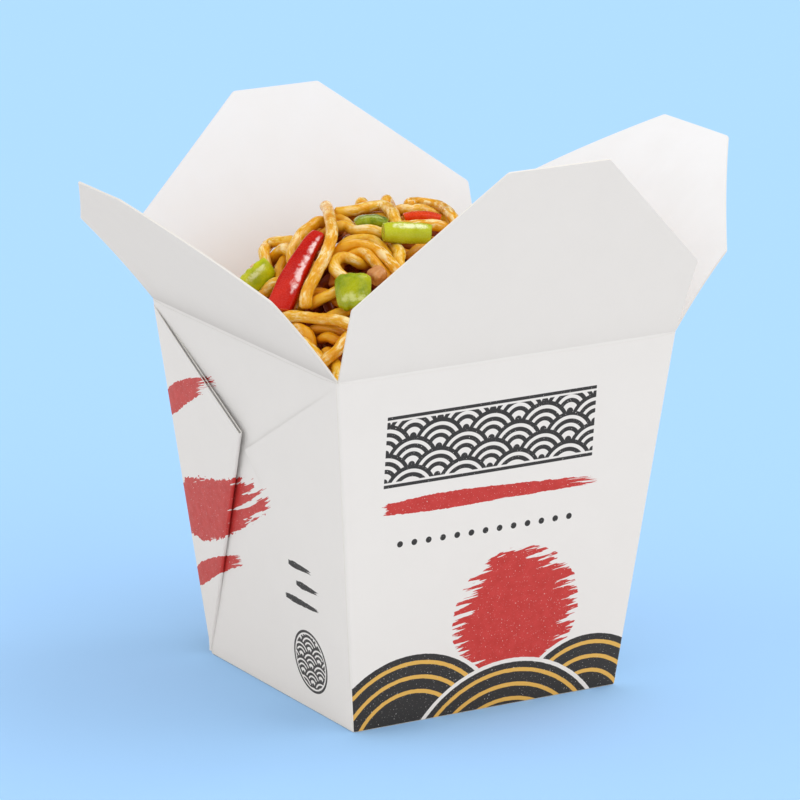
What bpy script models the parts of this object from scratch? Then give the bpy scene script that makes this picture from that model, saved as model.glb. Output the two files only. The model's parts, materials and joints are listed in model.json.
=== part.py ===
"""Open noodle takeaway box: folded board carton, four hinged flaps, noodles and toppings.

Metres, +Z up. The origin is the centre of the carton's base, the front wall faces -Y.
Each flap has its origin on its own crease, where it hinges on the carton.
"""
import math
import random

import bmesh
import bpy
from mathutils import Matrix, Vector

# ---- driving dimensions: carton ----
HEIGHT = 0.097                # from the table to the rim creases
TOP_WIDTH = 0.1007            # outside, along X at the rim
TOP_DEPTH = 0.0988            # outside, along Y at the rim
BASE_WIDTH = 0.0792
BASE_DEPTH = 0.0768
BOARD = 0.0005                # one ply of coated board
GAP = 0.0003                  # between separate pieces

# ---- driving dimensions: corner webs folded flat on the side walls ----
WEB_ANGLE = {"front": math.radians(37.0), "back": math.radians(34.0)}
WEB_TIP_STANDOFF = {"front": 0.0002, "back": 0.0016}
WEB_ROOT_SINK = 0.0003        # the web starts this far inside the wall at the corner
WEB_PLIES = 2
WEB_END_TRIM = 0.002          # web ends stay clear of the table and of the rim

# ---- driving dimensions: flaps ----
HINGE_TRIM = 0.0009           # each end of a flap's crease stays inside the wall corner
STRAIGHT_ROWS = 3
CHAMFER_ROWS = 5
# straight: height of the straight side, length: crease to tip, tip: width of the top edge,
# flare: how far the side corner stands out past the crease, lean: mean lean from vertical,
# curl: how much further the tip leans than the crease
FLAPS = {
    "front": dict(straight=0.0223, length=0.0595, tip=0.0294, flare=0.0006, lean=23.7, curl=3.3),
    "back": dict(straight=0.0196, length=0.0528, tip=0.0258, flare=0.0010, lean=26.5, curl=4.9),
    "left": dict(straight=0.0309, length=0.0602, tip=0.0225, flare=0.0019, lean=43.0, curl=12.5),
    "right": dict(straight=0.0246, length=0.0557, tip=0.0310, flare=0.0004, lean=43.2, curl=20.4),
}
# heading: turn about Z that carries a flap modelled at the front to its own wall
HEADINGS = {"front": 0.0, "right": 90.0, "back": 180.0, "left": -90.0}

# ---- driving dimensions: noodle heap ----
HEAP_CELLS = 42
HEAP_CROWN = 0.0232           # crown above the rim
HEAP_EDGE = -0.0030           # where the heap meets the walls, below the rim
HEAP_SHIFT = 0.0150           # the crown lies towards the back
HEAP_CORNER = 2.6             # superellipse power of the heap in plan
HEAP_RISE = 3.6
HEAP_FALL = 1.5
NOODLE_RADIUS = 0.00165
STRANDS = 120
STRAND_SEED = 11
STRAND_REACH = 0.05           # loop centres lie within this of the middle
STRAND_RADII = (0.007, 0.022)
STRAND_SPANS = (1.2, 3.2)     # radians of each loop that show
STRAND_LEVEL = 0.0009         # strands lie this much higher or lower than their neighbours

# ---- toppings ----
POCKET = 0.0004               # clearance of a topping in the heap
RING_POINTS = 12
SPINE_RINGS = 8
END_ROUND = 0.28              # how much a bar narrows at its very ends
END_POWER = 5
CHUNK_SQUARE = 0.6            # 1 gives a ball, 0 a box
CHUNK_UNEVEN = 0.14           # share by which a chunk's surface is dented
MICRON = 1e-6

WALL_LEAN_X = (TOP_WIDTH - BASE_WIDTH) / 2 / HEIGHT
WALL_LEAN_Y = (TOP_DEPTH - BASE_DEPTH) / 2 / HEIGHT


def clear_scene():
    for old in list(bpy.data.objects):
        bpy.data.objects.remove(old, do_unlink=True)


def make_material(name, colour, roughness):
    material = bpy.data.materials.new(name)
    material.use_nodes = True
    shader = material.node_tree.nodes["Principled BSDF"]
    shader.inputs["Base Color"].default_value = (*colour, 1.0)
    shader.inputs["Roughness"].default_value = roughness
    shader.inputs["Metallic"].default_value = 0.0
    return material


def board_material(name):
    return make_material(name + "_board", (0.80, 0.79, 0.78), 0.55)


def noodle_material():
    return make_material("noodle", (0.72, 0.38, 0.07), 0.35)


def red_pepper_material(name):
    return make_material(name + "_skin", (0.62, 0.02, 0.015), 0.2)


def green_pepper_material(name):
    return make_material(name + "_skin", (0.25, 0.42, 0.03), 0.3)


def onion_material(name):
    return make_material(name + "_stalk", (0.48, 0.58, 0.08), 0.35)


def meat_material(name):
    return make_material(name + "_surface", (0.42, 0.15, 0.05), 0.5)


def add_object(name, bm, material):
    bmesh.ops.recalc_face_normals(bm, faces=bm.faces)
    mesh = bpy.data.meshes.new(name)
    bm.to_mesh(mesh)
    bm.free()
    obj = bpy.data.objects.new(name, mesh)
    bpy.context.collection.objects.link(obj)
    if material is not None:
        mesh.materials.append(material)
    return obj


def add_boolean(obj, tool, operation):
    """Joins a helper shape to obj, or cuts it away, and keeps the helper out of the model."""
    tool.hide_render = True
    tool.display_type = "WIRE"
    step = obj.modifiers.new(tool.name, "BOOLEAN")
    step.operation = operation
    step.solver = "EXACT"
    step.object = tool


def loft(rings):
    """A closed solid through rings of equal point count, capped at both ends."""
    bm = bmesh.new()
    rows = [[bm.verts.new(point) for point in ring] for ring in rings]
    count = len(rows[0])
    for lower, upper in zip(rows, rows[1:]):
        for i in range(count):
            j = (i + 1) % count
            bm.faces.new((lower[i], lower[j], upper[j], upper[i]))
    bm.faces.new(rows[0])
    bm.faces.new(rows[-1])
    return bm


# ---- carton ----

def half_width(z):
    return BASE_WIDTH / 2 + WALL_LEAN_X * z


def half_depth(z):
    return BASE_DEPTH / 2 + WALL_LEAN_Y * z


def wall_ring(z, inset):
    """The carton's outline at height z, moved in by inset."""
    x = half_width(z) - inset
    y = half_depth(z) - inset
    return [(-x, -y, z), (x, -y, z), (x, y, z), (-x, y, z)]


def make_shell():
    """Base and four walls: outside face up, over the rim and back down the inside."""
    rim = HEIGHT - GAP
    rings = [wall_ring(0.0, 0.0), wall_ring(rim, 0.0), wall_ring(rim, BOARD), wall_ring(BOARD, BOARD)]
    return add_object("carton", loft(rings), board_material("carton"))


def make_web(side, end):
    """One folded corner: a two-ply triangle from the wall corner to its tip at the wall's middle.

    It is joined to the wall along the corner and opens slightly away from it towards the tip.
    """
    sign = {"left": -1, "right": 1}[side]
    back = {"front": -1, "back": 1}[end]
    foot = Vector((sign * BASE_WIDTH / 2, back * BASE_DEPTH / 2, 0.0))
    top = Vector((sign * TOP_WIDTH / 2, back * TOP_DEPTH / 2, HEIGHT))
    outward = Vector((sign, 0.0, -WALL_LEAN_X)).normalized()
    along = (top - foot).normalized()
    foot = foot + along * WEB_END_TRIM
    top = top - along * WEB_END_TRIM
    turn = Matrix.Rotation(sign * back * WEB_ANGLE[end], 3, outward)
    tip = foot + turn @ along * ((top - foot).length * math.cos(WEB_ANGLE[end]))
    thickness = outward * BOARD * WEB_PLIES
    root = -outward * WEB_ROOT_SINK
    standoff = outward * WEB_TIP_STANDOFF[end]
    inner = [foot + root, top + root, tip + standoff]
    outer = [point + thickness for point in inner]
    return add_object("web_" + side + "_" + end, loft([inner, outer]), None)


def make_carton():
    shell = make_shell()
    for side in ("left", "right"):
        for end in ("front", "back"):
            add_boolean(shell, make_web(side, end), "UNION")


# ---- flaps ----

def flap_half_width(flap, half_crease, distance):
    """Half the flap's width at a distance from the crease: flared sides, then the chamfers."""
    start = half_crease - HINGE_TRIM
    corner = half_crease + flap["flare"]
    if distance <= flap["straight"]:
        return start + (corner - start) * distance / flap["straight"]
    share = (distance - flap["straight"]) / (flap["length"] - flap["straight"])
    return corner + (flap["tip"] / 2 - corner) * share


def flap_distances(flap):
    """Rows across the flap, from just above the crease to the tip."""
    straight = [GAP + (flap["straight"] - GAP) * i / STRAIGHT_ROWS for i in range(STRAIGHT_ROWS)]
    rest = flap["length"] - flap["straight"]
    chamfer = [flap["straight"] + rest * i / CHAMFER_ROWS for i in range(CHAMFER_ROWS + 1)]
    return straight + chamfer


def flap_lean(flap, distance):
    """The lean from vertical at a distance from the crease."""
    return math.radians(flap["lean"] + flap["curl"] * (distance / flap["length"] - 0.5))


def make_flap(name):
    """A flap curling gently outwards, modelled at the front wall and turned to its own wall."""
    flap = FLAPS[name]
    half_crease = (TOP_WIDTH if name in ("front", "back") else TOP_DEPTH) / 2
    reach = (TOP_DEPTH if name in ("front", "back") else TOP_WIDTH) / 2
    rings = []
    position = Vector((0.0, 0.0))
    last = 0.0
    for distance in flap_distances(flap):
        middle = flap_lean(flap, (last + distance) / 2)
        position = position + Vector((math.sin(middle), math.cos(middle))) * (distance - last)
        lean = flap_lean(flap, distance)
        inner = position - Vector((math.cos(lean), -math.sin(lean))) * BOARD
        x = flap_half_width(flap, half_crease, distance)
        rings.append([
            (-x, -position.x, position.y), (x, -position.x, position.y),
            (x, -inner.x, inner.y), (-x, -inner.x, inner.y),
        ])
        last = distance
    obj = add_object("flap_" + name, loft(rings), board_material("flap_" + name))
    turn = Matrix.Rotation(math.radians(HEADINGS[name]), 4, "Z")
    obj.location = turn @ Vector((0.0, -reach, HEIGHT))
    obj.rotation_euler = (0.0, 0.0, math.radians(HEADINGS[name]))


# ---- noodle heap ----

HEAP_HALF_WIDTH = TOP_WIDTH / 2 - BOARD - GAP
HEAP_HALF_DEPTH = TOP_DEPTH / 2 - BOARD - GAP


def superellipse(u, v):
    return (abs(u) ** HEAP_CORNER + abs(v) ** HEAP_CORNER) ** (1.0 / HEAP_CORNER)


def dome_height(x, y):
    """Height of the smooth heap above the rim: low at the walls, with its crown near the back."""
    inside = 1.0 - min(1.0, superellipse(x / HEAP_HALF_WIDTH, y / HEAP_HALF_DEPTH)) ** 2
    shifted = (y - HEAP_SHIFT * inside) / HEAP_HALF_DEPTH
    radius = min(1.0, superellipse(x / HEAP_HALF_WIDTH, shifted))
    return HEAP_EDGE + (HEAP_CROWN - HEAP_EDGE) * (1.0 - radius ** HEAP_RISE) ** HEAP_FALL


def dome_normal(x, y):
    step = 0.001
    slope_x = (dome_height(x + step, y) - dome_height(x - step, y)) / (2 * step)
    slope_y = (dome_height(x, y + step) - dome_height(x, y - step)) / (2 * step)
    return Vector((-slope_x, -slope_y, 1.0)).normalized()


def make_strands():
    """Loose loops of noodle lying on the heap: centre, radius, first angle, span and level."""
    rng = random.Random(STRAND_SEED)
    strands = []
    for _ in range(STRANDS):
        x = rng.uniform(-STRAND_REACH, STRAND_REACH)
        y = rng.uniform(-STRAND_REACH, STRAND_REACH)
        centre = Vector((x, y))
        radius = rng.uniform(*STRAND_RADII)
        first = rng.uniform(0.0, math.tau)
        span = rng.uniform(*STRAND_SPANS)
        level = rng.uniform(-STRAND_LEVEL, STRAND_LEVEL)
        strands.append((centre, radius, first, span, level))
    return strands


def strand_relief(strands, x, y):
    """How far the nearest strands lift the surface at a place on the heap."""
    relief = 0.0
    for centre, radius, first, span, level in strands:
        offset = Vector((x, y)) - centre
        aside = abs(offset.length - radius)
        angle = (math.atan2(offset.y, offset.x) - first) % math.tau
        if aside < NOODLE_RADIUS and angle < span:
            lift = math.sqrt(NOODLE_RADIUS ** 2 - aside ** 2) + level
            relief = max(relief, lift)
    return relief


def heap_point(u, v, strands):
    """A point of the heap's top for u and v from -1 to 1, kept inside the leaning walls."""
    x = u * HEAP_HALF_WIDTH
    y = v * HEAP_HALF_DEPTH
    z = HEIGHT + dome_height(x, y) + strand_relief(strands, x, y)
    below = min(0.0, z - HEIGHT)
    return (x + u * WALL_LEAN_X * below, y + v * WALL_LEAN_Y * below, z)


def make_heap():
    strands = make_strands()
    bm = bmesh.new()
    bmesh.ops.create_grid(bm, x_segments=HEAP_CELLS, y_segments=HEAP_CELLS, size=1.0)
    for vert in bm.verts:
        vert.co = heap_point(vert.co.x, vert.co.y, strands)
    outline = [edge for edge in bm.edges if edge.is_boundary]
    skirt = bmesh.ops.extrude_edge_only(bm, edges=outline)["geom"]
    floor = BOARD + GAP
    for vert in [item for item in skirt if isinstance(item, bmesh.types.BMVert)]:
        width = HEAP_HALF_WIDTH + WALL_LEAN_X * (vert.co.z - HEIGHT)
        depth = HEAP_HALF_DEPTH + WALL_LEAN_Y * (vert.co.z - HEIGHT)
        u = vert.co.x / width
        v = vert.co.y / depth
        width = HEAP_HALF_WIDTH + WALL_LEAN_X * (floor - HEIGHT)
        depth = HEAP_HALF_DEPTH + WALL_LEAN_Y * (floor - HEIGHT)
        vert.co = (u * width, v * depth, floor)
    bmesh.ops.holes_fill(bm, edges=[edge for edge in bm.edges if edge.is_boundary])
    return add_object("noodles", bm, noodle_material())


# ---- toppings ----

def bent_bar(topping, grow):
    """A bar with a rounded section along an arc in its XZ plane, arching up in the middle."""
    length, width, thickness = topping["size"]
    bend = math.radians(topping["bend"])
    length = length + 2 * grow
    rings = []
    for i in range(SPINE_RINGS + 1):
        along = 2.0 * i / SPINE_RINGS - 1.0
        angle = bend * along / 2
        if bend:
            arc = length / bend
            centre = Vector((arc * math.sin(angle), 0.0, arc * (math.cos(angle) - 1.0)))
        else:
            centre = Vector((along * length / 2, 0.0, 0.0))
        up = Vector((math.sin(angle), 0.0, math.cos(angle)))
        end = 1.0 - END_ROUND * abs(along) ** END_POWER
        half = width / 2 * end * (1.0 + topping["taper"] * along)
        ring = []
        for j in range(RING_POINTS):
            turn = math.tau * j / RING_POINTS
            across = (half + grow) * math.cos(turn)
            lift = (thickness / 2 * end + grow) * math.sin(turn)
            ring.append(centre + Vector((0.0, across, 0.0)) + up * lift)
        rings.append(ring)
    return loft(rings)


def chunk(topping, grow):
    """An uneven cooked chunk: a rounded block with its surface dented."""
    rng = random.Random(round(topping["size"][0] / MICRON))
    size = Vector(topping["size"]) / 2
    bm = bmesh.new()
    bmesh.ops.create_icosphere(bm, subdivisions=2, radius=1.0)
    for vert in bm.verts:
        squared = Vector([math.copysign(abs(c) ** CHUNK_SQUARE, c) for c in vert.co])
        uneven = rng.uniform(1.0 - CHUNK_UNEVEN, 1.0)
        vert.co = Vector([squared[k] * (size[k] * uneven + grow) for k in range(3)])
    return bm


def topping_of(shape, material, size, place, heading, lift, bend=0, taper=0.0, tilt=0, roll=0):
    """One row of the toppings: lengths in metres, angles in degrees.

    size: length, width and thickness. place: X and Y on the heap. heading: turn of the long side
    about Z from +X. lift: height of the middle above the smooth heap. bend: arch of the long side.
    taper: share by which its front end is wider, or if negative narrower, than its middle.
    tilt: extra nose-up of the long side. roll: turn about the long side.
    """
    return dict(shape=shape, material=material, size=size, place=place, heading=heading, lift=lift,
                bend=bend, taper=taper, tilt=tilt, roll=roll)


TOPPINGS = {
    "red_pepper_strip_long": topping_of(
        bent_bar, red_pepper_material, size=(0.0262, 0.0064, 0.0030), place=(-0.0325, 0.0005),
        heading=22, lift=0.0022, bend=24, taper=-0.27, roll=19),
    "red_pepper_strip_back": topping_of(
        bent_bar, red_pepper_material, size=(0.0094, 0.0042, 0.0026), place=(0.0068, 0.0061),
        heading=-27, lift=0.0011, bend=26),
    "red_pepper_strip_right": topping_of(
        bent_bar, red_pepper_material, size=(0.0220, 0.0056, 0.0030), place=(0.0310, 0.0080),
        heading=68, lift=0.0014, bend=34, taper=0.25),
    "red_pepper_strip_front": topping_of(
        bent_bar, red_pepper_material, size=(0.0180, 0.0052, 0.0030), place=(0.0020, -0.0300),
        heading=15, lift=0.0012, bend=30, taper=-0.2),
    "green_pepper_left": topping_of(
        bent_bar, green_pepper_material, size=(0.0084, 0.0060, 0.0036), place=(-0.0368, 0.0130),
        heading=-20, lift=0.0022, bend=60, roll=70),
    "green_pepper_middle": topping_of(
        bent_bar, green_pepper_material, size=(0.0079, 0.0098, 0.0034), place=(-0.0272, -0.0173),
        heading=-30, lift=0.0021, bend=74, roll=22),
    "green_pepper_crown": topping_of(
        bent_bar, green_pepper_material, size=(0.0078, 0.0060, 0.0034), place=(-0.0078, 0.0074),
        heading=-30, lift=0.0014, bend=60),
    "green_pepper_right": topping_of(
        bent_bar, green_pepper_material, size=(0.0112, 0.0078, 0.0034), place=(0.0310, 0.0290),
        heading=50, lift=0.0014, bend=70),
    "spring_onion_stalk": topping_of(
        bent_bar, onion_material, size=(0.0124, 0.0056, 0.0056), place=(-0.0044, -0.0049),
        heading=-27, lift=0.0020, tilt=3),
    "spring_onion_slice": topping_of(
        bent_bar, onion_material, size=(0.0090, 0.0054, 0.0054), place=(0.0300, -0.0300),
        heading=-40, lift=0.0014),
    "meat_chunk_middle": topping_of(
        chunk, meat_material, size=(0.0046, 0.0046, 0.0044), place=(-0.0191, -0.0149),
        heading=20, lift=-0.0001),
    "meat_chunk_right": topping_of(
        chunk, meat_material, size=(0.0120, 0.0090, 0.0068), place=(0.0250, -0.0130),
        heading=40, lift=0.0010),
    "meat_chunk_back": topping_of(
        chunk, meat_material, size=(0.0105, 0.0080, 0.0056), place=(0.0100, 0.0350),
        heading=-20, lift=-0.0008),
}


def seat(topping):
    """World matrix that lays a topping on the heap, its long side along its heading."""
    x, y = topping["place"]
    normal = dome_normal(x, y)
    heading = math.radians(topping["heading"])
    along = Vector((math.cos(heading), math.sin(heading), 0.0))
    along = (along - normal * along.dot(normal)).normalized()
    across = normal.cross(along)
    tilt = Matrix.Rotation(-math.radians(topping["tilt"]), 4, "Y")
    roll = Matrix.Rotation(math.radians(topping["roll"]), 4, "X")
    frame = Matrix((along, across, normal)).transposed().to_4x4() @ tilt @ roll
    frame.translation = Vector((x, y, HEIGHT + dome_height(x, y))) + normal * topping["lift"]
    return frame


def make_toppings(heap):
    for name, topping in TOPPINGS.items():
        frame = seat(topping)
        build = topping["shape"]
        piece = add_object(name, build(topping, 0.0), topping["material"](name))
        piece.matrix_world = frame
        piece.data.shade_smooth()
        pocket = add_object(name + "_pocket", build(topping, POCKET), None)
        pocket.matrix_world = frame
        add_boolean(heap, pocket, "DIFFERENCE")


def main():
    clear_scene()
    make_carton()
    for name in FLAPS:
        make_flap(name)
    make_toppings(make_heap())


main()
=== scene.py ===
"""Looks of the noodle takeaway box: creased white board, printed walls, real noodles and toppings.

Metres, +Z up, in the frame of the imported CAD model.
"""
import json
import math
import random
from collections import namedtuple
from functools import partialmethod, reduce

import bmesh
import bpy
import numpy as np
from mathutils import Matrix, Vector, noise
from mathutils.bvhtree import BVHTree


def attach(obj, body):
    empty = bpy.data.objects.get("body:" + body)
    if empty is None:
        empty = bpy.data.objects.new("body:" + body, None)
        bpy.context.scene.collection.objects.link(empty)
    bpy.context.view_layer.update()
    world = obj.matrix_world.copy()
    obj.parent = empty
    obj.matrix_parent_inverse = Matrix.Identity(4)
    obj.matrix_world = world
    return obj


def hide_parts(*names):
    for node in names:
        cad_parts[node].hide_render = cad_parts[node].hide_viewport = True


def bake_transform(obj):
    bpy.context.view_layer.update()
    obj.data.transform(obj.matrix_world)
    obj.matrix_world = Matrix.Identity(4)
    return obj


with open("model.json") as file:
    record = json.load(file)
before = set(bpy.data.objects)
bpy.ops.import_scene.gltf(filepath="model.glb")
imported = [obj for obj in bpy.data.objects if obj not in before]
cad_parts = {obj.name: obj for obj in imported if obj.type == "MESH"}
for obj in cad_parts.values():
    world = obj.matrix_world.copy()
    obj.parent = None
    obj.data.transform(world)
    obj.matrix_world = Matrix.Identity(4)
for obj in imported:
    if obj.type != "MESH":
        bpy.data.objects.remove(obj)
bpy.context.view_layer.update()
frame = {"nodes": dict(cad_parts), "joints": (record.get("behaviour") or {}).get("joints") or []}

MM = 0.001

# ---- carton sizes, from the frame ----
CREASES = {joint["child"].replace("_flap", ""): Vector(joint["pos_m"]) for joint in frame["joints"]}
RIM = CREASES["front"].z
TOP_HALF = (CREASES["right"].x, CREASES["back"].y)
BASE_CORNERS = [v.co for v in frame["nodes"]["carton"].data.vertices if v.co.z < 0.01 * MM]
BASE_HALF = tuple(max(abs(corner[axis]) for corner in BASE_CORNERS) for axis in (0, 1))
TAPER = tuple((TOP_HALF[axis] - BASE_HALF[axis]) / RIM for axis in (0, 1))
BOARD = 0.5 * MM

# ---- flaps, in millimetres and degrees: straight, the side edge's height; length, crease to tip;
# tip, the tip's width; flare, how far the sides widen; lean, the outward tilt; curl, the outward
# bow; heading, the turn from the front; last, the strength of the painted shade along the crease ----
Flap = namedtuple("Flap", "straight length tip flare lean curl heading wear")
FLAPS = {
    "front": Flap(22.3, 59.5, 29.4, 0.6, 23.7, 3.3, 0.0, 0.08),
    "back": Flap(19.6, 52.8, 25.8, 1.0, 26.5, 4.9, 180.0, 0.41),
    "left": Flap(30.9, 60.2, 22.5, 1.9, 43.0, 12.5, -90.0, 0.41),
    "right": Flap(24.6, 55.7, 31.0, 0.4, 43.2, 20.4, 90.0, 0.41),
}
CREASE_REACH = 0.6 * MM       # the board bends within this distance of the crease
WALL_OVERLAP = 1.8 * MM       # a flap's piece starts this far below the rim, behind the wall
WALL_GAP = 0.75 * MM          # the wall ends this far below the rim
TUCK = 0.03 * MM              # a flap's foot lies this far behind the wall's face
CORNER_SLIT = 0.45 * MM       # between a flap's crease and the wall corner
TIP_ROUND = 1.6 * MM
TIP_SHORT = 0.25              # millimetres left for the board's waves inside the CAD box
SIDE_ROUND = 1.2 * MM

# ---- heap, as the CAD makes it ----
HEAP_CROWN = 23.2 * MM
HEAP_EDGE = -3.0 * MM
HEAP_SHIFT = 15.0 * MM
HEAP_CORNER = 2.6
HEAP_RISE = 3.6
HEAP_FALL = 1.5
HEAP_HALF = (TOP_HALF[0] - 0.8 * MM, TOP_HALF[1] - 0.8 * MM)
NOODLE = 1.65 * MM            # noodle radius
PILE_DEPTH = 11.0 * MM        # noodles lie over a core this far below the heap's surface


# ---------------------------------------------------------------- meshes

def linked(name, data):
    obj = bpy.data.objects.new(name, data)
    bpy.context.scene.collection.objects.link(obj)
    return obj


def new_object(name, mesh, materials, body="box", smooth=True):
    """A piece of the part, riding on a body unless none is given."""
    for material in materials:
        mesh.materials.append(material)
    if smooth:
        mesh.shade_smooth()
    obj = linked(name, mesh)
    if body:
        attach(obj, body)
    return obj


def mesh_from(name, verts, faces, kinds=None):
    """A mesh whose faces have the given material kinds."""
    mesh = bpy.data.meshes.new(name)
    mesh.from_pydata([tuple(v) for v in verts], [], [tuple(int(i) for i in f) for f in faces])
    if kinds is not None:
        mesh.polygons.foreach_set("material_index", kinds)
    mesh.update()
    return mesh


def add_values(mesh, name, values):
    """Gives each vertex a number or a vector that the materials read."""
    values = np.asarray(values, np.float32)
    kind, key = ("FLOAT", "value") if values.ndim == 1 else ("FLOAT_VECTOR", "vector")
    mesh.attributes.new(name, kind, "POINT").data.foreach_set(key, values.ravel())


def grid_faces(rows, cols, closed=True, first=0):
    """Faces of a grid of vertices whose columns run right and rows up as seen from outside."""
    faces = []
    for r in range(rows - 1):
        for c in range(cols if closed else cols - 1):
            a = first + r * cols + c
            b = first + r * cols + (c + 1) % cols
            faces.append((a, b, b + cols, a + cols))
    return faces


def turned(faces, shift=0):
    """The same four-sided faces, turned to look the other way."""
    return [(a + shift, d + shift, c + shift, b + shift) for a, b, c, d in faces]


def border(rows, cols):
    """The vertices round a grid: right along its top row, down, back along its bottom and up."""
    top = (rows - 1) * cols
    return [*range(top, top + cols), *range(top - 1, cols - 1, -cols), *range(cols - 1, 0, -1),
            *range(0, top, cols)]


def thick_sheet(grid, thickness, closed=False):
    """Vertices, faces and their kinds of a board sheet with a grid of points as its outside.

    The inside lies a thickness behind, and the raw edges are of kind 1. A closed sheet joins its
    last column to its first and has a floor.
    """
    rows, cols, _ = grid.shape
    if closed:
        across = np.roll(grid, -1, axis=1) - np.roll(grid, 1, axis=1)
    else:
        across = np.gradient(grid, axis=1)
    normal = np.cross(across, np.gradient(grid, axis=0))
    normal /= np.linalg.norm(normal, axis=2, keepdims=True)
    verts = np.concatenate([grid.reshape(-1, 3), (grid - normal * thickness).reshape(-1, 3)])
    back = rows * cols
    faces = grid_faces(rows, cols, closed)
    faces += turned(faces, back)
    rim = border(rows, cols)
    if closed:
        faces += [tuple(range(cols - 1, -1, -1)), tuple(range(back, back + cols))]
        rim = rim[:cols]
    kinds = [0] * len(faces) + [1] * len(rim)
    faces += [(a, b, back + b, back + a) for a, b in zip(rim, rim[1:] + rim[:1])]
    return verts, faces, kinds


def sharpen(mesh, degrees):
    mesh.set_sharp_from_angle(angle=math.radians(degrees))


# ---------------------------------------------------------------- node materials

class Graph:
    """Short calls for a material's node tree. Values are numbers, tuples or Fields."""

    def __init__(self, name):
        self.material = bpy.data.materials.new(name)
        self.material.use_nodes = True
        self.tree = self.material.node_tree
        self.shader = self.tree.nodes["Principled BSDF"]

    def put(self, socket, value):
        if isinstance(value, Field):
            self.tree.links.new(value.socket, socket)
        elif socket.type == "RGBA" and len(value) == 3:
            socket.default_value = (*value, 1.0)
        else:
            socket.default_value = value

    def node(self, kind, inputs, output=0, **settings):
        """One output of a new node, whose inputs are given by name or number."""
        node = self.tree.nodes.new("ShaderNode" + kind)
        for key, value in settings.items():
            setattr(node, key, value)
        for key, value in inputs.items():
            self.put(node.inputs[key], value)
        return Field(self, node.outputs[output])

    def place(self):
        """The surface's place in the object's own metres."""
        return self.node("TexCoord", {}, "Object")

    def noise(self, vector, scale, detail=2.0, roughness=0.5):
        inputs = dict(Vector=vector, Scale=scale, Detail=detail, Roughness=roughness)
        return self.node("TexNoise", inputs, "Fac")

    def stretched(self, vector, scale):
        return self.node("Mapping", dict(Vector=vector, Scale=scale))

    def mix(self, share, first, second):
        return self.node("Mix", {0: share, 6: first, 7: second}, 2, data_type="RGBA")

    def bump(self, height, strength, distance, under=None):
        """A normal from a height, on top of another bump's."""
        below = {} if under is None else dict(Normal=under)
        return self.node("Bump", dict(Strength=strength, Distance=distance, Height=height, **below))

    def attribute(self, name, output="Fac"):
        return self.node("Attribute", {}, output, attribute_name=name)

    def set(self, **values):
        """Sets the shader's sockets, named in words joined by underscores."""
        for key, value in values.items():
            self.put(self.shader.inputs[key.replace("_", " ")], value)


class Field:
    """A number that varies over a surface, with the usual signs for sums of nodes."""

    def __init__(self, graph, socket):
        self.graph = graph
        self.socket = socket

    def do(self, operation, *others):
        return self.graph.node("Math", dict(enumerate((self, *others))), operation=operation)

    __add__ = partialmethod(do, "ADD")
    __sub__ = partialmethod(do, "SUBTRACT")
    __mul__ = partialmethod(do, "MULTIPLY")
    __or__ = partialmethod(do, "MAXIMUM")
    __abs__ = partialmethod(do, "ABSOLUTE")
    least = partialmethod(do, "MINIMUM")

    def fold(self, half):
        """Repeats every two halves, from minus a half to a half."""
        return self.do("WRAP", half, -half)

    def ramp(self, low, high, out_low=0.0, out_high=1.0):
        return self.graph.node("MapRange", dict(enumerate((self, low, high, out_low, out_high))))

    def above(self, level=0.0, soft=0.07):
        """One where the field is over a level, none below, with a soft edge."""
        return self.ramp(level - soft, level + soft)

    def below(self, level, soft=0.07):
        return self.ramp(level - soft, level + soft, 1.0, 0.0)

    def rest(self):
        """What a mask leaves out."""
        return self * -1.0 + 1.0


def distance(x, y):
    return (x * x + y * y).do("SQRT")


def union(masks):
    return reduce(lambda first, second: first | second, masks)


def grain_at(x, y, seed, detail=3.0, roughness=0.6):
    """Noise of size one over two fields."""
    place = x.graph.node("CombineXYZ", dict(enumerate((x, y, seed))))
    return x.graph.noise(place, 1.0, detail, roughness)


BOARD_WHITE = (0.846, 0.830, 0.817)
BOARD_SHADE = (0.796, 0.780, 0.765)
BOARD_INSIDE = (0.840, 0.850, 0.872)
BOARD_INSIDE_PAINTED_LIGHT = (0.900, 0.903, 0.915)  # painted light: the right flap's inside is made whiter, standing for the extra light it catches
BOARD_CREASE_SHADE = (0.420, 0.400, 0.385)    # painted shade at full strength, the darkening along a crease
INK_RED = (0.54, 0.034, 0.030)
INK_RED_LIGHT = (0.60, 0.046, 0.042)
INK_CHARCOAL = (0.030, 0.030, 0.032)
INK_GOLD = (0.78, 0.46, 0.10)


# ---- print, in millimetres across and up a wall

def stroke(x, y, start, end, width, bow=0.0, dry=0.55, seed=0.0):
    """A brush stroke: full where it starts, breaking into dry streaks along its edges and end."""
    length = math.dist(start, end)
    turn = math.atan2(end[1] - start[1], end[0] - start[0])
    right = x - start[0]
    rise = y - start[1]
    along = (right * math.cos(turn) + rise * math.sin(turn)) * (1.0 / length)
    across = rise * math.cos(turn) - right * math.sin(turn)
    across = across - (along - along * along) * (4.0 * bow)
    streak = grain_at(along * (length * 0.045), across * (8.0 / width), seed)
    ragged = grain_at(along * (length * 0.5), across * 0.9, seed + 5.0)
    half = along.ramp(0.0, 0.22, 0.66, 1.0) * along.ramp(0.35, 1.0, 1.0, 0.5) * (width / 2)
    rim = abs(across) + (ragged - 0.5) * (0.22 * width)
    body = (half - rim).above()
    body = body * (along + (streak - 0.5) * 0.12).above(0.0, 0.003)
    body = body * (along + (streak - 0.5) * 0.75).below(1.0, 0.003)
    edge = (rim * (2.0 / width)).ramp(0.35, 1.0)
    wear = along.ramp(0.15, 1.0, 0.02, dry) + edge * 0.16
    return body * (streak - wear * 0.62).above(0.14, 0.02)


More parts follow.
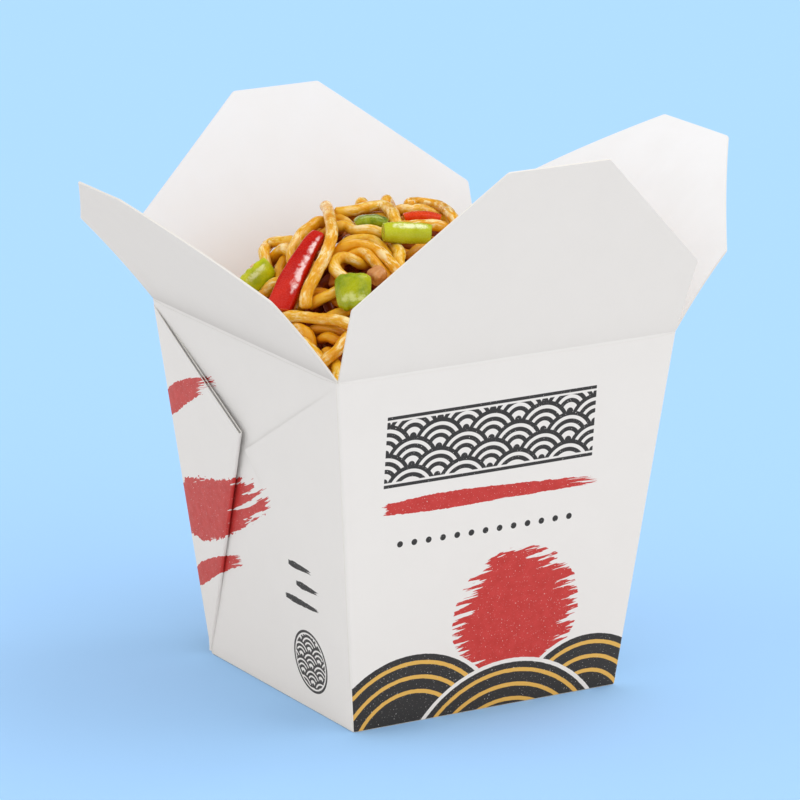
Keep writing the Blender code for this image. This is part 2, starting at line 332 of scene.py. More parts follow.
def wave_scales(x, y, radius, line):
    """The old pattern of overlapping wave scales: rings in rows, each row in front of the one above."""
    row = (y * (2.0 / radius)).do("FLOOR")
    shown = None
    for step in (1, 0, -1):
        index = row + step
        odd = (index * 0.5).do("FRACT") * 2.0
        away = distance((x + odd * radius).fold(radius), y - index * (radius / 2))
        if shown is None:
            shown = away
        else:
            front = away.do("LESS_THAN", radius)
            shown = shown * front.rest() + away * front
    nearest = abs(shown - 0.93 * radius)
    for ring in (0.66, 0.39):
        nearest = nearest.least(abs(shown - ring * radius))
    return nearest.below(line / 2) | shown.below(0.13 * radius)


HILLS = [(30.0, -6.0, 22.0), (-23.0, -8.0, 27.0), (6.0, -19.0, 31.0)]  # across, up and radius
HILL_RINGS = (2.3, 6.3, 10.3)
SUN_SPOT = (7.0, 25.5)
SUN_RADIUS = 19.0
BAND_SHIFT = 4.0
BAND_HALF = 31.0
BAND_UP = 76.0


def front_print(x, z):
    """Red, charcoal and gold masks: a band of wave scales, a brush line, dots and a sun over hills."""
    ragged = (grain_at(x * 0.55, z * 0.55, 3.0) - 0.5) * 0.9
    right = x + BAND_SHIFT
    wide = abs(right).below(BAND_HALF)
    scales = wave_scales(right, z - 68.0, 7.75, 1.15) * abs(z - BAND_UP).below(8.2) * wide
    rules = abs(abs(z - BAND_UP) - 9.2).below(0.45) * wide
    dots = distance(right.fold(2.1), z - 50.5).below(0.85) * abs(right).below(27.3)
    line = stroke(x, z, (-34.0, 60.5), (27.0, 59.5), 4.6, bow=0.5, dry=0.5, seed=1.0)
    away = distance(x - SUN_SPOT[0], z - SUN_SPOT[1])
    streak = grain_at(x * 0.07 + z * 0.03, z * 0.75 - x * 0.10, 8.0)
    worn = (away * (1.0 / SUN_RADIUS)).ramp(0.55, 1.0, 0.0, 0.30)
    sun = (away + ragged * 1.6).below(SUN_RADIUS) * (streak - worn).above(0.24, 0.03)
    dark = gold = cover = None
    for across, up, radius in HILLS:
        reach = distance(x - across, z - up) + ragged * 0.35
        inside = reach.below(radius)
        rings = inside * union(abs(reach - (radius - inset)).below(0.55) for inset in HILL_RINGS)
        around = reach.below(radius + 1.1)
        if dark:
            inside = dark * around.rest() | inside
            rings = gold * around.rest() | rings
            around = cover | around
        dark, gold, cover = inside, rings, around
    return sun * cover.rest() | line, scales | rules | dots | dark, gold


def side_print(y, z):
    """Red and charcoal masks of a side: slanting brush strokes, short dashes and a round of scales."""
    red = union([stroke(y, z, (50.0, 66.0), (17.0, 81.0), 7.0, bow=-1.6, dry=0.6, seed=2.0),
                 stroke(y, z, (49.0, 39.0), (-8.0, 59.0), 17.0, bow=2.6, dry=0.7, seed=6.0),
                 stroke(y, z, (44.0, 19.0), (14.0, 33.0), 5.5, bow=-1.2, dry=0.55, seed=11.0)])
    away = distance(y + 19.0, z - 14.0)
    dark = away.below(7.4) * wave_scales(y + 19.0, z - 7.5, 4.6, 0.75) | abs(away - 8.2).below(0.35)
    for index, (near, far) in enumerate(((-13.0, -24.0), (-16.0, -26.5), (-9.5, -25.5))):
        up = 40.0 - 5.0 * index
        dark = dark | stroke(y, z, (near, up), (far, up - 0.3), 1.9, dry=0.35, seed=20.0 + index)
    return red, dark


def printed_material(name, axis):
    """Coated board with ink thinned in specks and streaks; the front and back are drawn across X, the sides
    across Y.
    """
    graph = Graph(name)
    across, up = (graph.node("SeparateXYZ", {0: graph.place()}, key) * (1.0 / MM) for key in (axis, "Z"))
    speck = grain_at(across * 2.3, up * 2.3, 31.0, 2.0, 0.5).ramp(0.24, 0.34)
    masks = front_print(across, up) if axis == "X" else side_print(across, up)
    masks = [mask.ramp(0.30, 0.70) * speck for mask in masks]
    tint = grain_at(across * 0.35, up * 0.35, 17.0).ramp(0.35, 0.65)
    inks = (graph.mix(tint, INK_RED, INK_RED_LIGHT), INK_CHARCOAL, INK_GOLD)
    colour = mottled(graph, BOARD_WHITE)
    for mask, ink in zip(masks, inks):
        colour = graph.mix(mask, colour, ink)
    board_surface(graph, colour, masks[0] | masks[1])
    return graph.material


def mottled(graph, colour):
    """Board is never quite even: patches a centimetre wide are a touch darker."""
    mottle = graph.noise(graph.place(), 90.0, 3.0, 0.55)
    return graph.mix(mottle.ramp(0.35, 0.65, 0.0, 0.16), colour, BOARD_SHADE)


def board_surface(graph, colour, ink=None):
    """Coated board: fine fibre relief, slow waves and a satin coating, less rough over the ink."""
    place = graph.place()
    rough = graph.noise(place, 700.0).ramp(0.3, 0.7, 0.50, 0.62)
    if ink:
        rough = rough - ink * 0.14
    # a flap darkens along its crease by a per-vertex share: painted shade
    graph.set(Base_Color=graph.mix(graph.attribute("worn"), colour, BOARD_CREASE_SHADE), Specular_IOR_Level=0.35,
              Roughness=rough)
    slow = graph.bump(graph.noise(place, 32.0, 1.0, 0.4), 0.25, 0.6 * MM)
    graph.set(Normal=graph.bump(graph.noise(place, 5200.0, 3.0, 0.6), 0.22, 0.02 * MM, slow))


def board_material(name, colour):
    graph = Graph(name)
    board_surface(graph, mottled(graph, colour))
    return graph.material


def edge_material():
    """The raw edge of the board: uncoated pulp, rougher and a little warmer."""
    graph = Graph("board_edge")
    layers = graph.noise(graph.place(), 3800.0, 2.0, 0.7)
    graph.set(Base_Color=graph.mix(layers, (0.86, 0.84, 0.80), (0.72, 0.69, 0.64)), Roughness=0.85,
              Normal=graph.bump(layers, 0.5, 0.03 * MM))
    return graph.material


# ---------------------------------------------------------------- carton

CORNER_RADIUS = 0.9 * MM
CORNER_STEPS = 6
WALL_STEPS = 16
WALL_ROWS = 20
BULGE = 0.35 * MM
FOOT_RADIUS = 0.5 * MM
FOOT_STEPS = 3
CORNER_RISE = 0.5 * MM        # the wall corners reach this much further up than the walls


def half_at(axis, z):
    return BASE_HALF[axis] + TAPER[axis] * z


def outline(z, inset):
    """Points round the carton at height z, from outside, and which of them are in a corner."""
    radius = max(CORNER_RADIUS - inset, 0.2 * MM)
    reach = [half_at(axis, z) - inset - radius for axis in (0, 1)]
    bow = BULGE * math.sin(math.pi * min(1.0, z / RIM)) ** 2
    points = []
    corners = [(1, -1), (1, 1), (-1, 1), (-1, -1)]
    for index, corner in enumerate(corners):
        first = 90.0 * (index - 1)
        centre, after = (Vector((x * reach[0], y * reach[1]))
                         for x, y in (corner, corners[(index + 1) % 4]))
        for step in range(CORNER_STEPS + 1):
            angle = math.radians(first + 90.0 * step / CORNER_STEPS)
            points.append((centre.x + radius * math.cos(angle), centre.y + radius * math.sin(angle), True))
        facing = Vector((math.cos(angle), math.sin(angle)))
        start = Vector(points[-1][:2])
        end = after + facing * radius
        for step in range(1, WALL_STEPS):
            share = step / WALL_STEPS
            spot = start.lerp(end, share) + facing * bow * math.sin(math.pi * share) ** 2
            points.append((spot.x, spot.y, False))
    return points


def wall_grid():
    """The walls' outside from the rounded foot up, with a lip that reaches higher at the corners."""
    angles = [math.radians(90.0 * step / FOOT_STEPS) for step in range(FOOT_STEPS + 1)]
    heights = [(FOOT_RADIUS * (1 - math.cos(angle)), FOOT_RADIUS * (1 - math.sin(angle)))
               for angle in angles]
    top = RIM - WALL_GAP
    heights += [(FOOT_RADIUS + (top - FOOT_RADIUS) * step / WALL_ROWS, 0.0)
                for step in range(1, WALL_ROWS + 1)]
    grid = [[(x, y, z) for x, y, _ in outline(z, inset)] for z, inset in heights]
    wide = outline(top + CORNER_RISE, 0.0)
    grid.append([(*wide[k][:2], top + CORNER_RISE) if corner else (x, y, top + 0.02 * MM)
                 for k, (x, y, corner) in enumerate(outline(top, 0.0))])
    return np.array(grid)


def make_walls(materials):
    grid = wall_grid()
    verts, faces, kinds = thick_sheet(grid, BOARD, closed=True)
    rows, cols, _ = grid.shape
    verts[rows * cols:(rows + 1) * cols, 2] = BOARD
    mesh = mesh_from("carton_walls", verts, faces, kinds)
    for face in mesh.polygons:
        facing = face.normal
        if face.material_index == 0 and face.center.xy.dot(facing.xy) > 0 and abs(facing.z) < 0.5:
            face.material_index = 2 if abs(facing.y) > abs(facing.x) else 3
    sharpen(mesh, 35.0)
    walls = new_object("carton_walls", mesh, materials, smooth=False)
    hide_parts("carton")


# a web's fold leans by an angle from the corner and is reach times as long; its outside stands this
# many millimetres off the side wall at the foot and at the tip, rising by a power; plies is how
# thick its two plies are together
Web = namedtuple("Web", "angle reach foot tip rise plies")
WEBS = {"front": Web(38.4, 0.8125, -0.42, 0.95, 6.0, 0.45), "back": Web(32.8, 0.828, 0.12, 2.3, 1.0, 0.56)}
WEB_START = 0.8 * MM          # a web leaves the wall this far from the corner
WEB_SUNK = 0.16 * MM          # and its first edge is sunk this deep in the wall
WEB_LOWEST, WEB_HIGHEST = 0.015, 0.988
WEB_ROWS = 26
WEB_FOLD_STEPS = 6
WEB_OUTSIDE = (0.0, 0.04, 0.1, 0.2, 0.35, 0.55, 0.75, 0.92)  # columns from the corner to the fold
WEB_INSIDE = (0.92, 0.6, 0.3, 0.06)                          # and back


def web_point(side, end, share, across, height):
    """A point of a web: share from foot to top, across from the corner to the fold, off the wall."""
    web = WEBS[end]
    outward = Vector((side, 0.0, -TAPER[0])).normalized()
    back = -1 if end == "front" else 1
    foot = Vector((side * BASE_HALF[0], back * BASE_HALF[1], 0.0))
    top = Vector((side * TOP_HALF[0], back * TOP_HALF[1], RIM))
    turn = Matrix.Rotation(side * back * math.radians(web.angle), 3, outward)
    tip = foot + turn @ (top - foot) * web.reach
    return foot.lerp(top, share).lerp(foot.lerp(tip, share), across) + outward * height


def make_web(side, end):
    """A folded corner: two plies of board joined by a rounded fold, open along the top edge."""
    web = WEBS[end]
    thickness = web.plies * MM
    radius = thickness / 2
    grid = []
    for row in range(WEB_ROWS + 1):
        share = WEB_LOWEST + (WEB_HIGHEST - WEB_LOWEST) * row / WEB_ROWS
        width = (web_point(side, end, share, 1.0, 0.0) - web_point(side, end, share, 0.0, 0.0)).length
        edge = 1.0 - radius / width
        fold = (web.foot + (web.tip - web.foot) * share ** web.rise) * MM
        first = min(0.3, WEB_START / width)

        def ply(columns, below):
            return [(first + across * (edge - first),
                     (fold + WEB_SUNK) * across ** 0.7 - WEB_SUNK - below) for across in columns]

        angles = [math.pi * step / WEB_FOLD_STEPS for step in range(WEB_FOLD_STEPS + 1)]
        line = ply(WEB_OUTSIDE, 0.0)
        line += [(edge + radius / width * math.sin(angle), fold - radius + radius * math.cos(angle))
                 for angle in angles]
        line += ply(WEB_INSIDE, thickness)
        grid.append([web_point(side, end, share, across, height) for across, height in line])
    grid = np.array(grid)
    if (side < 0) == (end == "back"):
        grid = grid[:, ::-1]
    return thick_sheet(grid, min(BOARD, thickness * 0.46))


def make_webs(materials):
    verts, faces, kinds = [], [], []
    for side in (-1, 1):
        for end in WEBS:
            more, sheet, kind = make_web(side, end)
            faces.extend(tuple(len(verts) + i for i in face) for face in sheet)
            verts.extend(more)
            kinds.extend(k or 3 for k in kind)
    mesh = mesh_from("carton_webs", verts, faces, kinds)
    sharpen(mesh, 50.0)
    new_object("carton_webs", mesh, materials, smooth=False)


# ---------------------------------------------------------------- flaps

FLAP_COLUMNS = 28
FLAP_ROWS = 34
FLAP_START = 1.2 * MM         # the even rows start this far from the crease
BEND_FINENESS = 0.05 * MM
SCORE_DEPTH = 0.10 * MM       # the crease's groove outside and bead inside
SCORE_WIDTH = 0.45 * MM
WARP = 0.30 * MM
# the painted shade along a crease fades over this distance
CREASE_SHADE_REACH = 4.0 * MM


def rounded_corner(before, corner, after, radius, steps=5):
    """Points of an arc that rounds a corner of an outline."""
    corner = Vector(corner)
    first, second = ((Vector(other) - corner).normalized() for other in (before, after))
    half = first.angle(second) / 2
    reach = radius / math.tan(half)
    centre = corner + (first + second).normalized() * (radius / math.sin(half))
    start, end = (corner + side * reach - centre for side in (first, second))
    sweep = start.angle_signed(end)
    return [centre + Matrix.Rotation(-sweep * step / steps, 2) @ start for step in range(steps + 1)]


def flap_outline(name):
    """Half the flap's outline as (half width, distance from the crease) pairs, going up."""
    flap = FLAPS[name]
    half = TOP_HALF[0] if name in ("front", "back") else TOP_HALF[1]
    crease = half - CORNER_SLIT
    side = (half + flap.flare * MM, flap.straight * MM)
    tip = (flap.tip / 2 * MM, (flap.length - TIP_SHORT) * MM)
    return [Vector((crease - 0.25 * MM, -WALL_OVERLAP)), Vector((crease, 0.0)),
            *rounded_corner((crease, 0.0), side, tip, SIDE_ROUND),
            *rounded_corner(side, tip, (0.0, tip[1]), TIP_ROUND)]


def flap_profile(name, distances):
    """Outside points (outward, up) of the flap's middle line, bent at the crease and curled."""
    flap = FLAPS[name]
    wall = math.atan(TAPER[1 if name in ("front", "back") else 0])
    base = math.radians(flap.lean - flap.curl / 2)
    curl = math.radians(flap.curl) / (flap.length * MM)

    def lean(distance):
        share = min(1.0, max(0.0, (distance + CREASE_REACH) / (2 * CREASE_REACH)))
        eased = share * share * (3 - 2 * share)
        return wall + (base - wall) * eased + curl * max(0.0, distance)

    profile = []
    for distance in distances:
        steps = max(1, int(abs(distance) / BEND_FINENESS))
        point = Vector((0.0, 0.0))
        for step in range(steps):
            angle = lean(distance * (step + 0.5) / steps)
            point += Vector((math.sin(angle), math.cos(angle))) * distance / steps
        profile.append((point, lean(distance)))
    return profile


def flap_distances(name, levels):
    """The rows of a flap: close together at its crease, and one at each corner of its outline."""
    end = (FLAPS[name].length - TIP_SHORT) * MM
    values = [-WALL_OVERLAP, -WALL_GAP, -CREASE_REACH, *levels[2:]]
    values += [CREASE_REACH * step / 5 for step in range(-4, 6)]
    values += [FLAP_START + (end - FLAP_START) * step / FLAP_ROWS for step in range(FLAP_ROWS + 1)]
    kept = []
    for value in sorted(set(round(value, 7) for value in values)):
        if not kept or value - kept[-1] > 0.04 * MM:
            kept.append(value)
    kept[-1] = end
    return kept


def make_flap(name, materials):
    flap = FLAPS[name]
    levels, halves = ([float(point[k]) for point in flap_outline(name)] for k in (1, 0))
    distances = flap_distances(name, levels)
    profile = flap_profile(name, distances)
    turn = Matrix.Rotation(math.radians(flap.heading), 3, "Z")
    reach = CREASES[name].xy.length
    grid = []
    worn = []
    for distance, (point, lean) in zip(distances, profile):
        half = float(np.interp(distance, levels, halves))
        # painted shade: the outside darkens towards the crease, fading outward
        wear = flap.wear * math.exp(-distance / CREASE_SHADE_REACH) if distance > 0 else 0.0
        worn += [wear] * (FLAP_COLUMNS + 1)
        score = -SCORE_DEPTH * math.exp(-(distance / SCORE_WIDTH) ** 2)
        free = max(0.0, distance) / (flap.length * MM)
        row = []
        for column in range(FLAP_COLUMNS + 1):
            x = (2.0 * column / FLAP_COLUMNS - 1.0) * half
            ripple = noise.noise(Vector((x * 22.0, distance * 26.0, 7.0 + flap.heading)))
            off = score + WARP * ripple * free - (TUCK if distance < -CREASE_REACH else 0.0)
            row.append(turn @ Vector((x, -reach - point.x - off * math.cos(lean),
                                      RIM + point.y - off * math.sin(lean))))
        grid.append(row)
    verts, faces, kinds = thick_sheet(np.array(grid), BOARD)
    kinds = [2 if kind == 0 and min(face) >= len(worn) else kind for face, kind in zip(faces, kinds)]
    mesh = mesh_from("board_flap_" + name, verts, faces, kinds)
    add_values(mesh, "worn", worn + [0.0] * len(worn))
    sharpen(mesh, 40.0)
    piece = new_object("board_flap_" + name, mesh, materials, body=None, smooth=False)
    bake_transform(piece)
    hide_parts("flap_" + name)


# ---------------------------------------------------------------- heap

CELL = 0.5 * MM
STEP = 1.0 * MM
DROOP = 5.0 * MM              # bending radius of a noodle that hangs over another
SQUASH = 0.90                 # noodles press into each other a little
ROOM = tuple(half - BOARD - NOODLE - 0.25 * MM for half in TOP_HALF)
ROOM_LOW = (-ROOM[0], -ROOM[1])


def superellipse(u, v):
    return (abs(u) ** HEAP_CORNER + abs(v) ** HEAP_CORNER) ** (1.0 / HEAP_CORNER)


def dome_height(x, y):
    """Height of the smooth heap above the rim, as in the CAD."""
    inside = 1.0 - np.minimum(1.0, superellipse(x / HEAP_HALF[0], y / HEAP_HALF[1])) ** 2
    shifted = (y - HEAP_SHIFT * inside) / HEAP_HALF[1]
    radius = np.minimum(1.0, superellipse(x / HEAP_HALF[0], shifted))
    return HEAP_EDGE + (HEAP_CROWN - HEAP_EDGE) * (1.0 - radius ** HEAP_RISE) ** HEAP_FALL


def dome_normal(x, y):
    slope_x = (dome_height(x + STEP, y) - dome_height(x - STEP, y)) / (2 * STEP)
    slope_y = (dome_height(x, y + STEP) - dome_height(x, y - STEP)) / (2 * STEP)
    return Vector((-slope_x, -slope_y, 1.0)).normalized()


class Pile:
    """Heights of the pile above the rim on a grid of cells, raised as noodles are laid on it."""

    def __init__(self):
        self.count = int(round(2 * TOP_HALF[0] / CELL)) + 1
        self.low = -TOP_HALF[0]
        line = self.low + CELL * np.arange(self.count)
        self.x, self.y = np.meshgrid(line, line, indexing="ij")
        self.target = dome_height(self.x, self.y)
        self.height = self.target - PILE_DEPTH
        self.roof = np.full_like(self.height, 1.0)
        reach = int(math.ceil(NOODLE / CELL))
        span = np.arange(-reach, reach + 1)
        self.offsets = np.array([(i, j) for i in span for j in span])

    def cells(self, plan):
        """Cells within a noodle's radius of each plan point, with the noodle's half height there."""
        base = np.rint((plan - self.low) / CELL).astype(int)
        index = np.clip(base[:, None, :] + self.offsets[None, :, :], 0, self.count - 1)
        centre = self.low + CELL * index
        apart = np.sum((centre - plan[:, None, :]) ** 2, axis=2)
        rise = np.sqrt(np.maximum(NOODLE ** 2 - apart, 0.0))
        return index[..., 0], index[..., 1], apart < NOODLE ** 2, rise

    def floor(self, plan, squash):
        """The lowest a noodle's middle line may lie on the pile."""
        i, j, inside, rise = self.cells(plan)
        return np.where(inside, self.height[i, j] + rise * squash, -1.0).max(axis=1)

    def ceiling(self, plan):
        """The highest a noodle's middle line may lie to stay under the toppings."""
        i, j, inside, rise = self.cells(plan)
        return np.where(inside, self.roof[i, j] - rise, 1.0).min(axis=1)

    def rest(self, plan):
        """Heights of a noodle's middle line where it lies on the pile along a plan route."""
        need = self.floor(plan, SQUASH)
        along = np.arange(len(plan)) * STEP
        sag = (along[:, None] - along[None, :]) ** 2 / (2 * DROOP)
        line = (need[None, :] - sag).max(axis=1)
        kernel = np.array([1.0, 2.0, 3.0, 2.0, 1.0])
        padded = np.concatenate([[line[0]] * 2, line, [line[-1]] * 2])
        smooth = np.convolve(padded, kernel / kernel.sum(), mode="valid")
        return np.maximum(smooth, need - 0.15 * MM)

    def lay(self, plan, line):
        i, j, inside, rise = self.cells(plan)
        np.maximum.at(self.height, (i, j), np.where(inside, line[:, None] + rise, -1.0))

    def excess(self, plan, line):
        """How far a noodle's top stands over the wanted surface, along it."""
        i, j = np.rint((plan - self.low) / CELL).astype(int).T
        return line + NOODLE - self.target[i, j]


# ---- the noodles that fill the heap

LOOK_AHEAD = 7.0 * MM
WALL_CURVE = 190.0            # how sharply a route turns back from a wall
SHORTEST = 13                 # steps in the shortest noodle worth laying
TRIES = 14                    # routes tried for each noodle, the first few beside another
TRIES_BESIDE = 4
PATIENCE = 30                 # rounds without a noodle before the heap counts as full
ALLOWANCE = 0.6 * MM          # a noodle may stand this far over the wanted surface
MAT_TURN = math.radians(35.0)
MAT_APART = 1.85 * NOODLE
MAT_SWAY = 3.2 * MM
END_DIP = 2.9 * MM
END_REACH = 7.0 * MM


def random_route(rng):
    """A curving plan route that turns back from the walls."""
    count = int(rng.uniform(26.0, 75.0))
    x, y = (rng.uniform(-room, room) for room in ROOM)
    heading = rng.uniform(0.0, math.tau)
    first, last = (rng.uniform(-95.0, 95.0) for _ in range(2))
    kink = rng.uniform(-70.0, 70.0)
    phase = rng.uniform(0.0, math.tau)
    route = []
    for index in range(count):
        route.append((x, y))
        share = index / count
        curve = first + (last - first) * share + kink * math.sin(phase + share * 7.0)
        ahead = (x + LOOK_AHEAD * math.cos(heading), y + LOOK_AHEAD * math.sin(heading))
        if abs(ahead[0]) > ROOM[0] or abs(ahead[1]) > ROOM[1]:
            curve = math.copysign(WALL_CURVE, math.sin(math.atan2(-y, -x) - heading))
        heading += curve * STEP
        x = min(ROOM[0], max(-ROOM[0], x + STEP * math.cos(heading)))
        y = min(ROOM[1], max(-ROOM[1], y + STEP * math.sin(heading)))
    return np.array(route)


def beside(plan, apart):
    """A route that runs alongside another."""
    ahead = np.gradient(plan, axis=0)
    ahead /= np.maximum(np.linalg.norm(ahead, axis=1, keepdims=True), 1e-9)
    return np.clip(plan + np.stack([-ahead[:, 1], ahead[:, 0]], axis=1) * apart, ROOM_LOW, ROOM)


def longest_run(good):
    """First and last index of the longest stretch of true values."""
    edges = np.flatnonzero(np.diff(np.concatenate([[0], good, [0]])))
    return max(zip(edges[::2], edges[1::2]), key=lambda run: run[1] - run[0], default=(0, 0))


def fitted(pile, plan):
    """The longest part of a route that stays under the wanted surface, with its heights."""
    for _ in range(2):
        line = pile.rest(plan)
        good = (pile.excess(plan, line) < ALLOWANCE) & (line < pile.ceiling(plan))
        first, last = longest_run(good)
        if last - first < SHORTEST:
            return None
        if last - first == len(plan):
            return plan, line
        plan = plan[first:last]
    return plan, np.minimum(pile.rest(plan), pile.ceiling(plan))


def lay_random(pile, rng):
    """Lays noodles where the pile is furthest below its wanted surface, until it is full."""
    laid = []
    misses = 0
    while misses < PATIENCE:
        best = None
        for attempt in range(TRIES):
            if laid and attempt < TRIES_BESIDE:
                apart = rng.choice((-1.0, 1.0)) * rng.uniform(2.0, 2.3) * NOODLE
                route = beside(rng.choice(laid[-8:])[0], apart)
            else:
                route = random_route(rng)
            found = fitted(pile, route)
            if found is None:
                continue
            over = pile.excess(*found)
            score = float(over.mean()) - 0.02 * MM * len(found[0]) + 0.25 * float(over[0] + over[-1]) / 2
            if best is None or score < best[0]:
                best = (score, found)
        if best is None:
            misses += 1
            continue
        pile.lay(*best[1])
        laid.append(best[1])
    return laid


def deep_mat():
    """Long swaying noodles side by side under the pile, seen between the noodles above."""
    ahead = np.array([math.cos(MAT_TURN), math.sin(MAT_TURN)])
    aside = np.array([-ahead[1], ahead[0]])
    reach = math.hypot(*ROOM)
    along = np.arange(-reach, reach, STEP)
    laid = []
    for offset in np.arange(-reach, reach, MAT_APART):
        sway = np.array([noise.noise(Vector((t * 42.0, offset * 11.0, 4.0))) for t in along])
        plan = along[:, None] * ahead + (offset + MAT_SWAY * sway)[:, None] * aside
        first, last = longest_run((np.abs(plan) < ROOM).all(axis=1))
        if last - first >= SHORTEST:
            plan = plan[first:last]
            rise = np.array([noise.noise(Vector((x * 90.0, y * 90.0, 9.0))) for x, y in plan])
            line = dome_height(plan[:, 0], plan[:, 1]) - PILE_DEPTH - 0.5 * NOODLE + 1.1 * MM * rise
            laid.append((plan, line))
    return laid


def tucked(plan, line):
    """A noodle whose ends sink between the noodles it lies on."""
    step = np.arange(len(line))
    from_end = np.minimum(step, step[::-1]) * STEP
    return plan, line - END_DIP * np.clip(1.0 - from_end / END_REACH, 0.0, 1.0) ** 2


# ---- the listed noodles: first the rise of the middle line over the smooth heap, then
# points of X, Y and, at hidden ends, the dip below that rise, all in millimetres

PLACED = [
    (-1.68, (-40.7, -7.18, 3), (-39.2, -12.68), (-35.7, -18.68), (-32.7, -24.18, 2)),
    (-0.67, (-37.5, -15.29, 3), (-36, -19.79), (-34.5, -22.29), (-32.5, -24.29), (-27.5, -29.29, 3)),
    (-1.25, (-38, -14, 2), (-34, -16.5), (-32, -17), (-29, -18), (-23, -19, 3)),
    (-0.91, (-35.5, -9.5), (-33.5, -10.5), (-31, -12), (-29, -13), (-24, -17, 3)),
    (-1.3, (-35.57, -4.25, 3), (-33.07, -6.75), (-31.07, -8.75), (-29.57, -11.25), (-27.57, -14.25, 1)),
    (0.05, (-42, 20, 2), (-38.5, 14), (-37, 11), (-35.5, 8), (-33, 4, 2)),
    (-0.6, (-5, 1, 3), (-7.5, -5), (-9, -8.5), (-11, -11.5), (-12, -14), (-13, -21, 2)),
    (0.12, (-35.69, 8.41, 3), (-34.19, 11.41), (-33.19, 12.41), (-30.69, 12.91), (-27.69, 11.41, 3)),
    (-0.8, (-37.59, -21.66, 3), (-40.09, -28.16), (-40.59, -30.66), (-42.59, -35.16), (-44.59, -40.66, 1)),
    (0.37, (-40.32, 0.6, 3), (-40.32, -6.9), (-40.32, -11.4), (-40.32, -15.9), (-40.82, -19.4, 3)),
    (0.14, (-14.76, -6.13, 3), (-19.76, -5.63), (-22.26, -3.63), (-24.76, -4.13), (-26.26, -5.63),
     (-26.76, -8.63), (-25.76, -11.13, 1)),
    (-0.87, (-23.85, -3.09, 3), (-20.85, 1.41), (-17.35, 3.41), (-14.85, 3.41), (-12.35, 1.91),
     (-10.85, -1.59), (-9.35, -8.09, 3)),
    (0, (-27, -7, 4), (-24, -4), (-21, -4), (-18, -5.5), (-17, -8.5), (-16.5, -12), (-17, -17),
     (-19, -24, 3)),
    (1.21, (-19.78, 13.86, 3), (-15.78, 11.86), (-12.28, 10.86), (-10.78, 8.36), (-9.28, 3.86),
     (-8.28, 0.36, 1)),
    (0.13, (-14, 23, 3), (-12, 19), (-11, 16.5), (-12, 12)),
    (-0.09, (-33.98, 22.99, 3), (-32.98, 20.99), (-31.48, 20.49), (-29.98, 18.49), (-28.98, 14.99),
     (-26.98, 8.99, 3)),
    (0.65, (-10, 24, 1), (-6, 23), (-3.5, 20.5), (0, 20), (2, 17), (3, 11, 3)),
    (1.5, (5.4, 23, 0.3), (7.4, 26), (9.8, 29.5, 2), (12, 33, 5)),
    (2.1, (-1.9, 22.6, 0.3), (0, 25.5), (2.4, 29, 2), (4.8, 32.5, 5)),
    (0.83, (-1, 9, 3), (0, 7), (2.5, 5), (5.5, 3.5), (10, 2), (17, -3, 3)),
    (0.74, (4, 19, 2), (6.5, 16.5), (8.5, 14.5), (12, 14.5), (18, 11, 3)),
    (0.79, (-41.01, -14.29, 3), (-41.01, -18.29), (-41.01, -21.79), (-41.01, -25.29), (-41.01, -29.29, 2)),
    (0.32, (-43.77, -27.63, 2), (-41.77, -27.63), (-39.77, -27.13), (-37.27, -27.13), (-34.77, -26.13),
     (-27.77, -22.13, 3)),
    (-0.06, (-24.56, 1.33, 4), (-20.06, -1.67), (-17.56, -3.67), (-16.06, -7.17), (-15.56, -11.17),
     (-14.56, -16.67), (-9.56, -23.67, 2)),
    (0.94, (-34.46, 14.10, 4), (-31.96, 19.60), (-29.56, 23.96), (-28.16, 24.86), (-27.76, 22.16),
     (-27.46, 18.86), (-26.76, 15.06), (-25.76, 9.86, 3)),
    (1.48, (9, 17), (11, 19.5), (13.5, 20.5), (15, 19), (17, 16), (16, 9.5), (13, 1.5), (12, -6, 3)),
    (1.32, (-31.89, 4.93, 4), (-30.89, 8.93), (-28.39, 10.93), (-24.89, 13.93), (-20.89, 15.93),
     (-16.89, 17.43), (-11.89, 15.93, 3)),
    (1.22, (-10.7, 20.9), (-6.4, 19.3), (-1.5, 20.1), (1.9, 19.3), (2, 15.2), (0.3, 8.6), (-1.4, 3.1, 2)),
    (0.82, (-41.35, 3.91, 2), (-40.85, -2.09), (-40.35, -7.59), (-38.85, -12.59), (-36.85, -17.09),
     (-34.35, -21.09), (-30.85, -26.09, 2)),
    (3, (-11.7, 24.5), (-16.6, 13.4), (-21.7, 3.4), (-24.8, -1), (-26.8, -3.3), (-28.8, -5.1),
     (-31.2, -6.5), (-33.4, -7.8), (-35.5, -8.7), (-37.3, -10.1), (-38.4, -11.6, 0.5)),
]

CONTACT = 1.88 * NOODLE       # pressed noodles lie this far apart
KEEP_SHAPE = 0.45             # how strongly a push spreads to the rest of the noodle
HOMEWARD = 0.992              # a noodle drifts back towards its own place
SETTLE_ROUNDS = 110
UPWARD, DOWNWARD = 0.4, 1.5   # a noodle yields more readily downwards
GIVE = 0.6                    # the share of an overlap with a topping that one round takes away
SINK = 0.35 * MM              # a placed noodle presses this far into the bed
CLEARING = 2.2 * MM           # the spread of the room made under a placed noodle


def smooth_route(points):
    """A route at even plan steps through a few points in millimetres, by a Catmull-Rom curve.

    A point is X, Y and how far it dips below the noodle's own rise.
    """
    knots = np.array([(*point, 0.0)[:3] for point in points], float) * MM
    knots = np.vstack([2 * knots[0] - knots[1], knots, 2 * knots[-1] - knots[-2]])
    fine = []
    for k in range(1, len(knots) - 2):
        a, b, c, d = knots[k - 1:k + 3]
        for t in np.linspace(0.0, 1.0, 40, endpoint=False):
            fine.append(0.5 * (2 * b + (c - a) * t + (2 * a - 5 * b + 4 * c - d) * t ** 2
                               + (3 * b - a - 3 * c + d) * t ** 3))
    fine = np.array([*fine, knots[-2]])
    along = np.concatenate([[0.0], np.cumsum(np.linalg.norm(np.diff(fine, axis=0), axis=1))])
    even = np.linspace(0.0, along[-1], max(4, int(along[-1] / STEP)))
    return np.stack([np.interp(even, along, fine[:, axis]) for axis in (0, 1, 2)], axis=1)


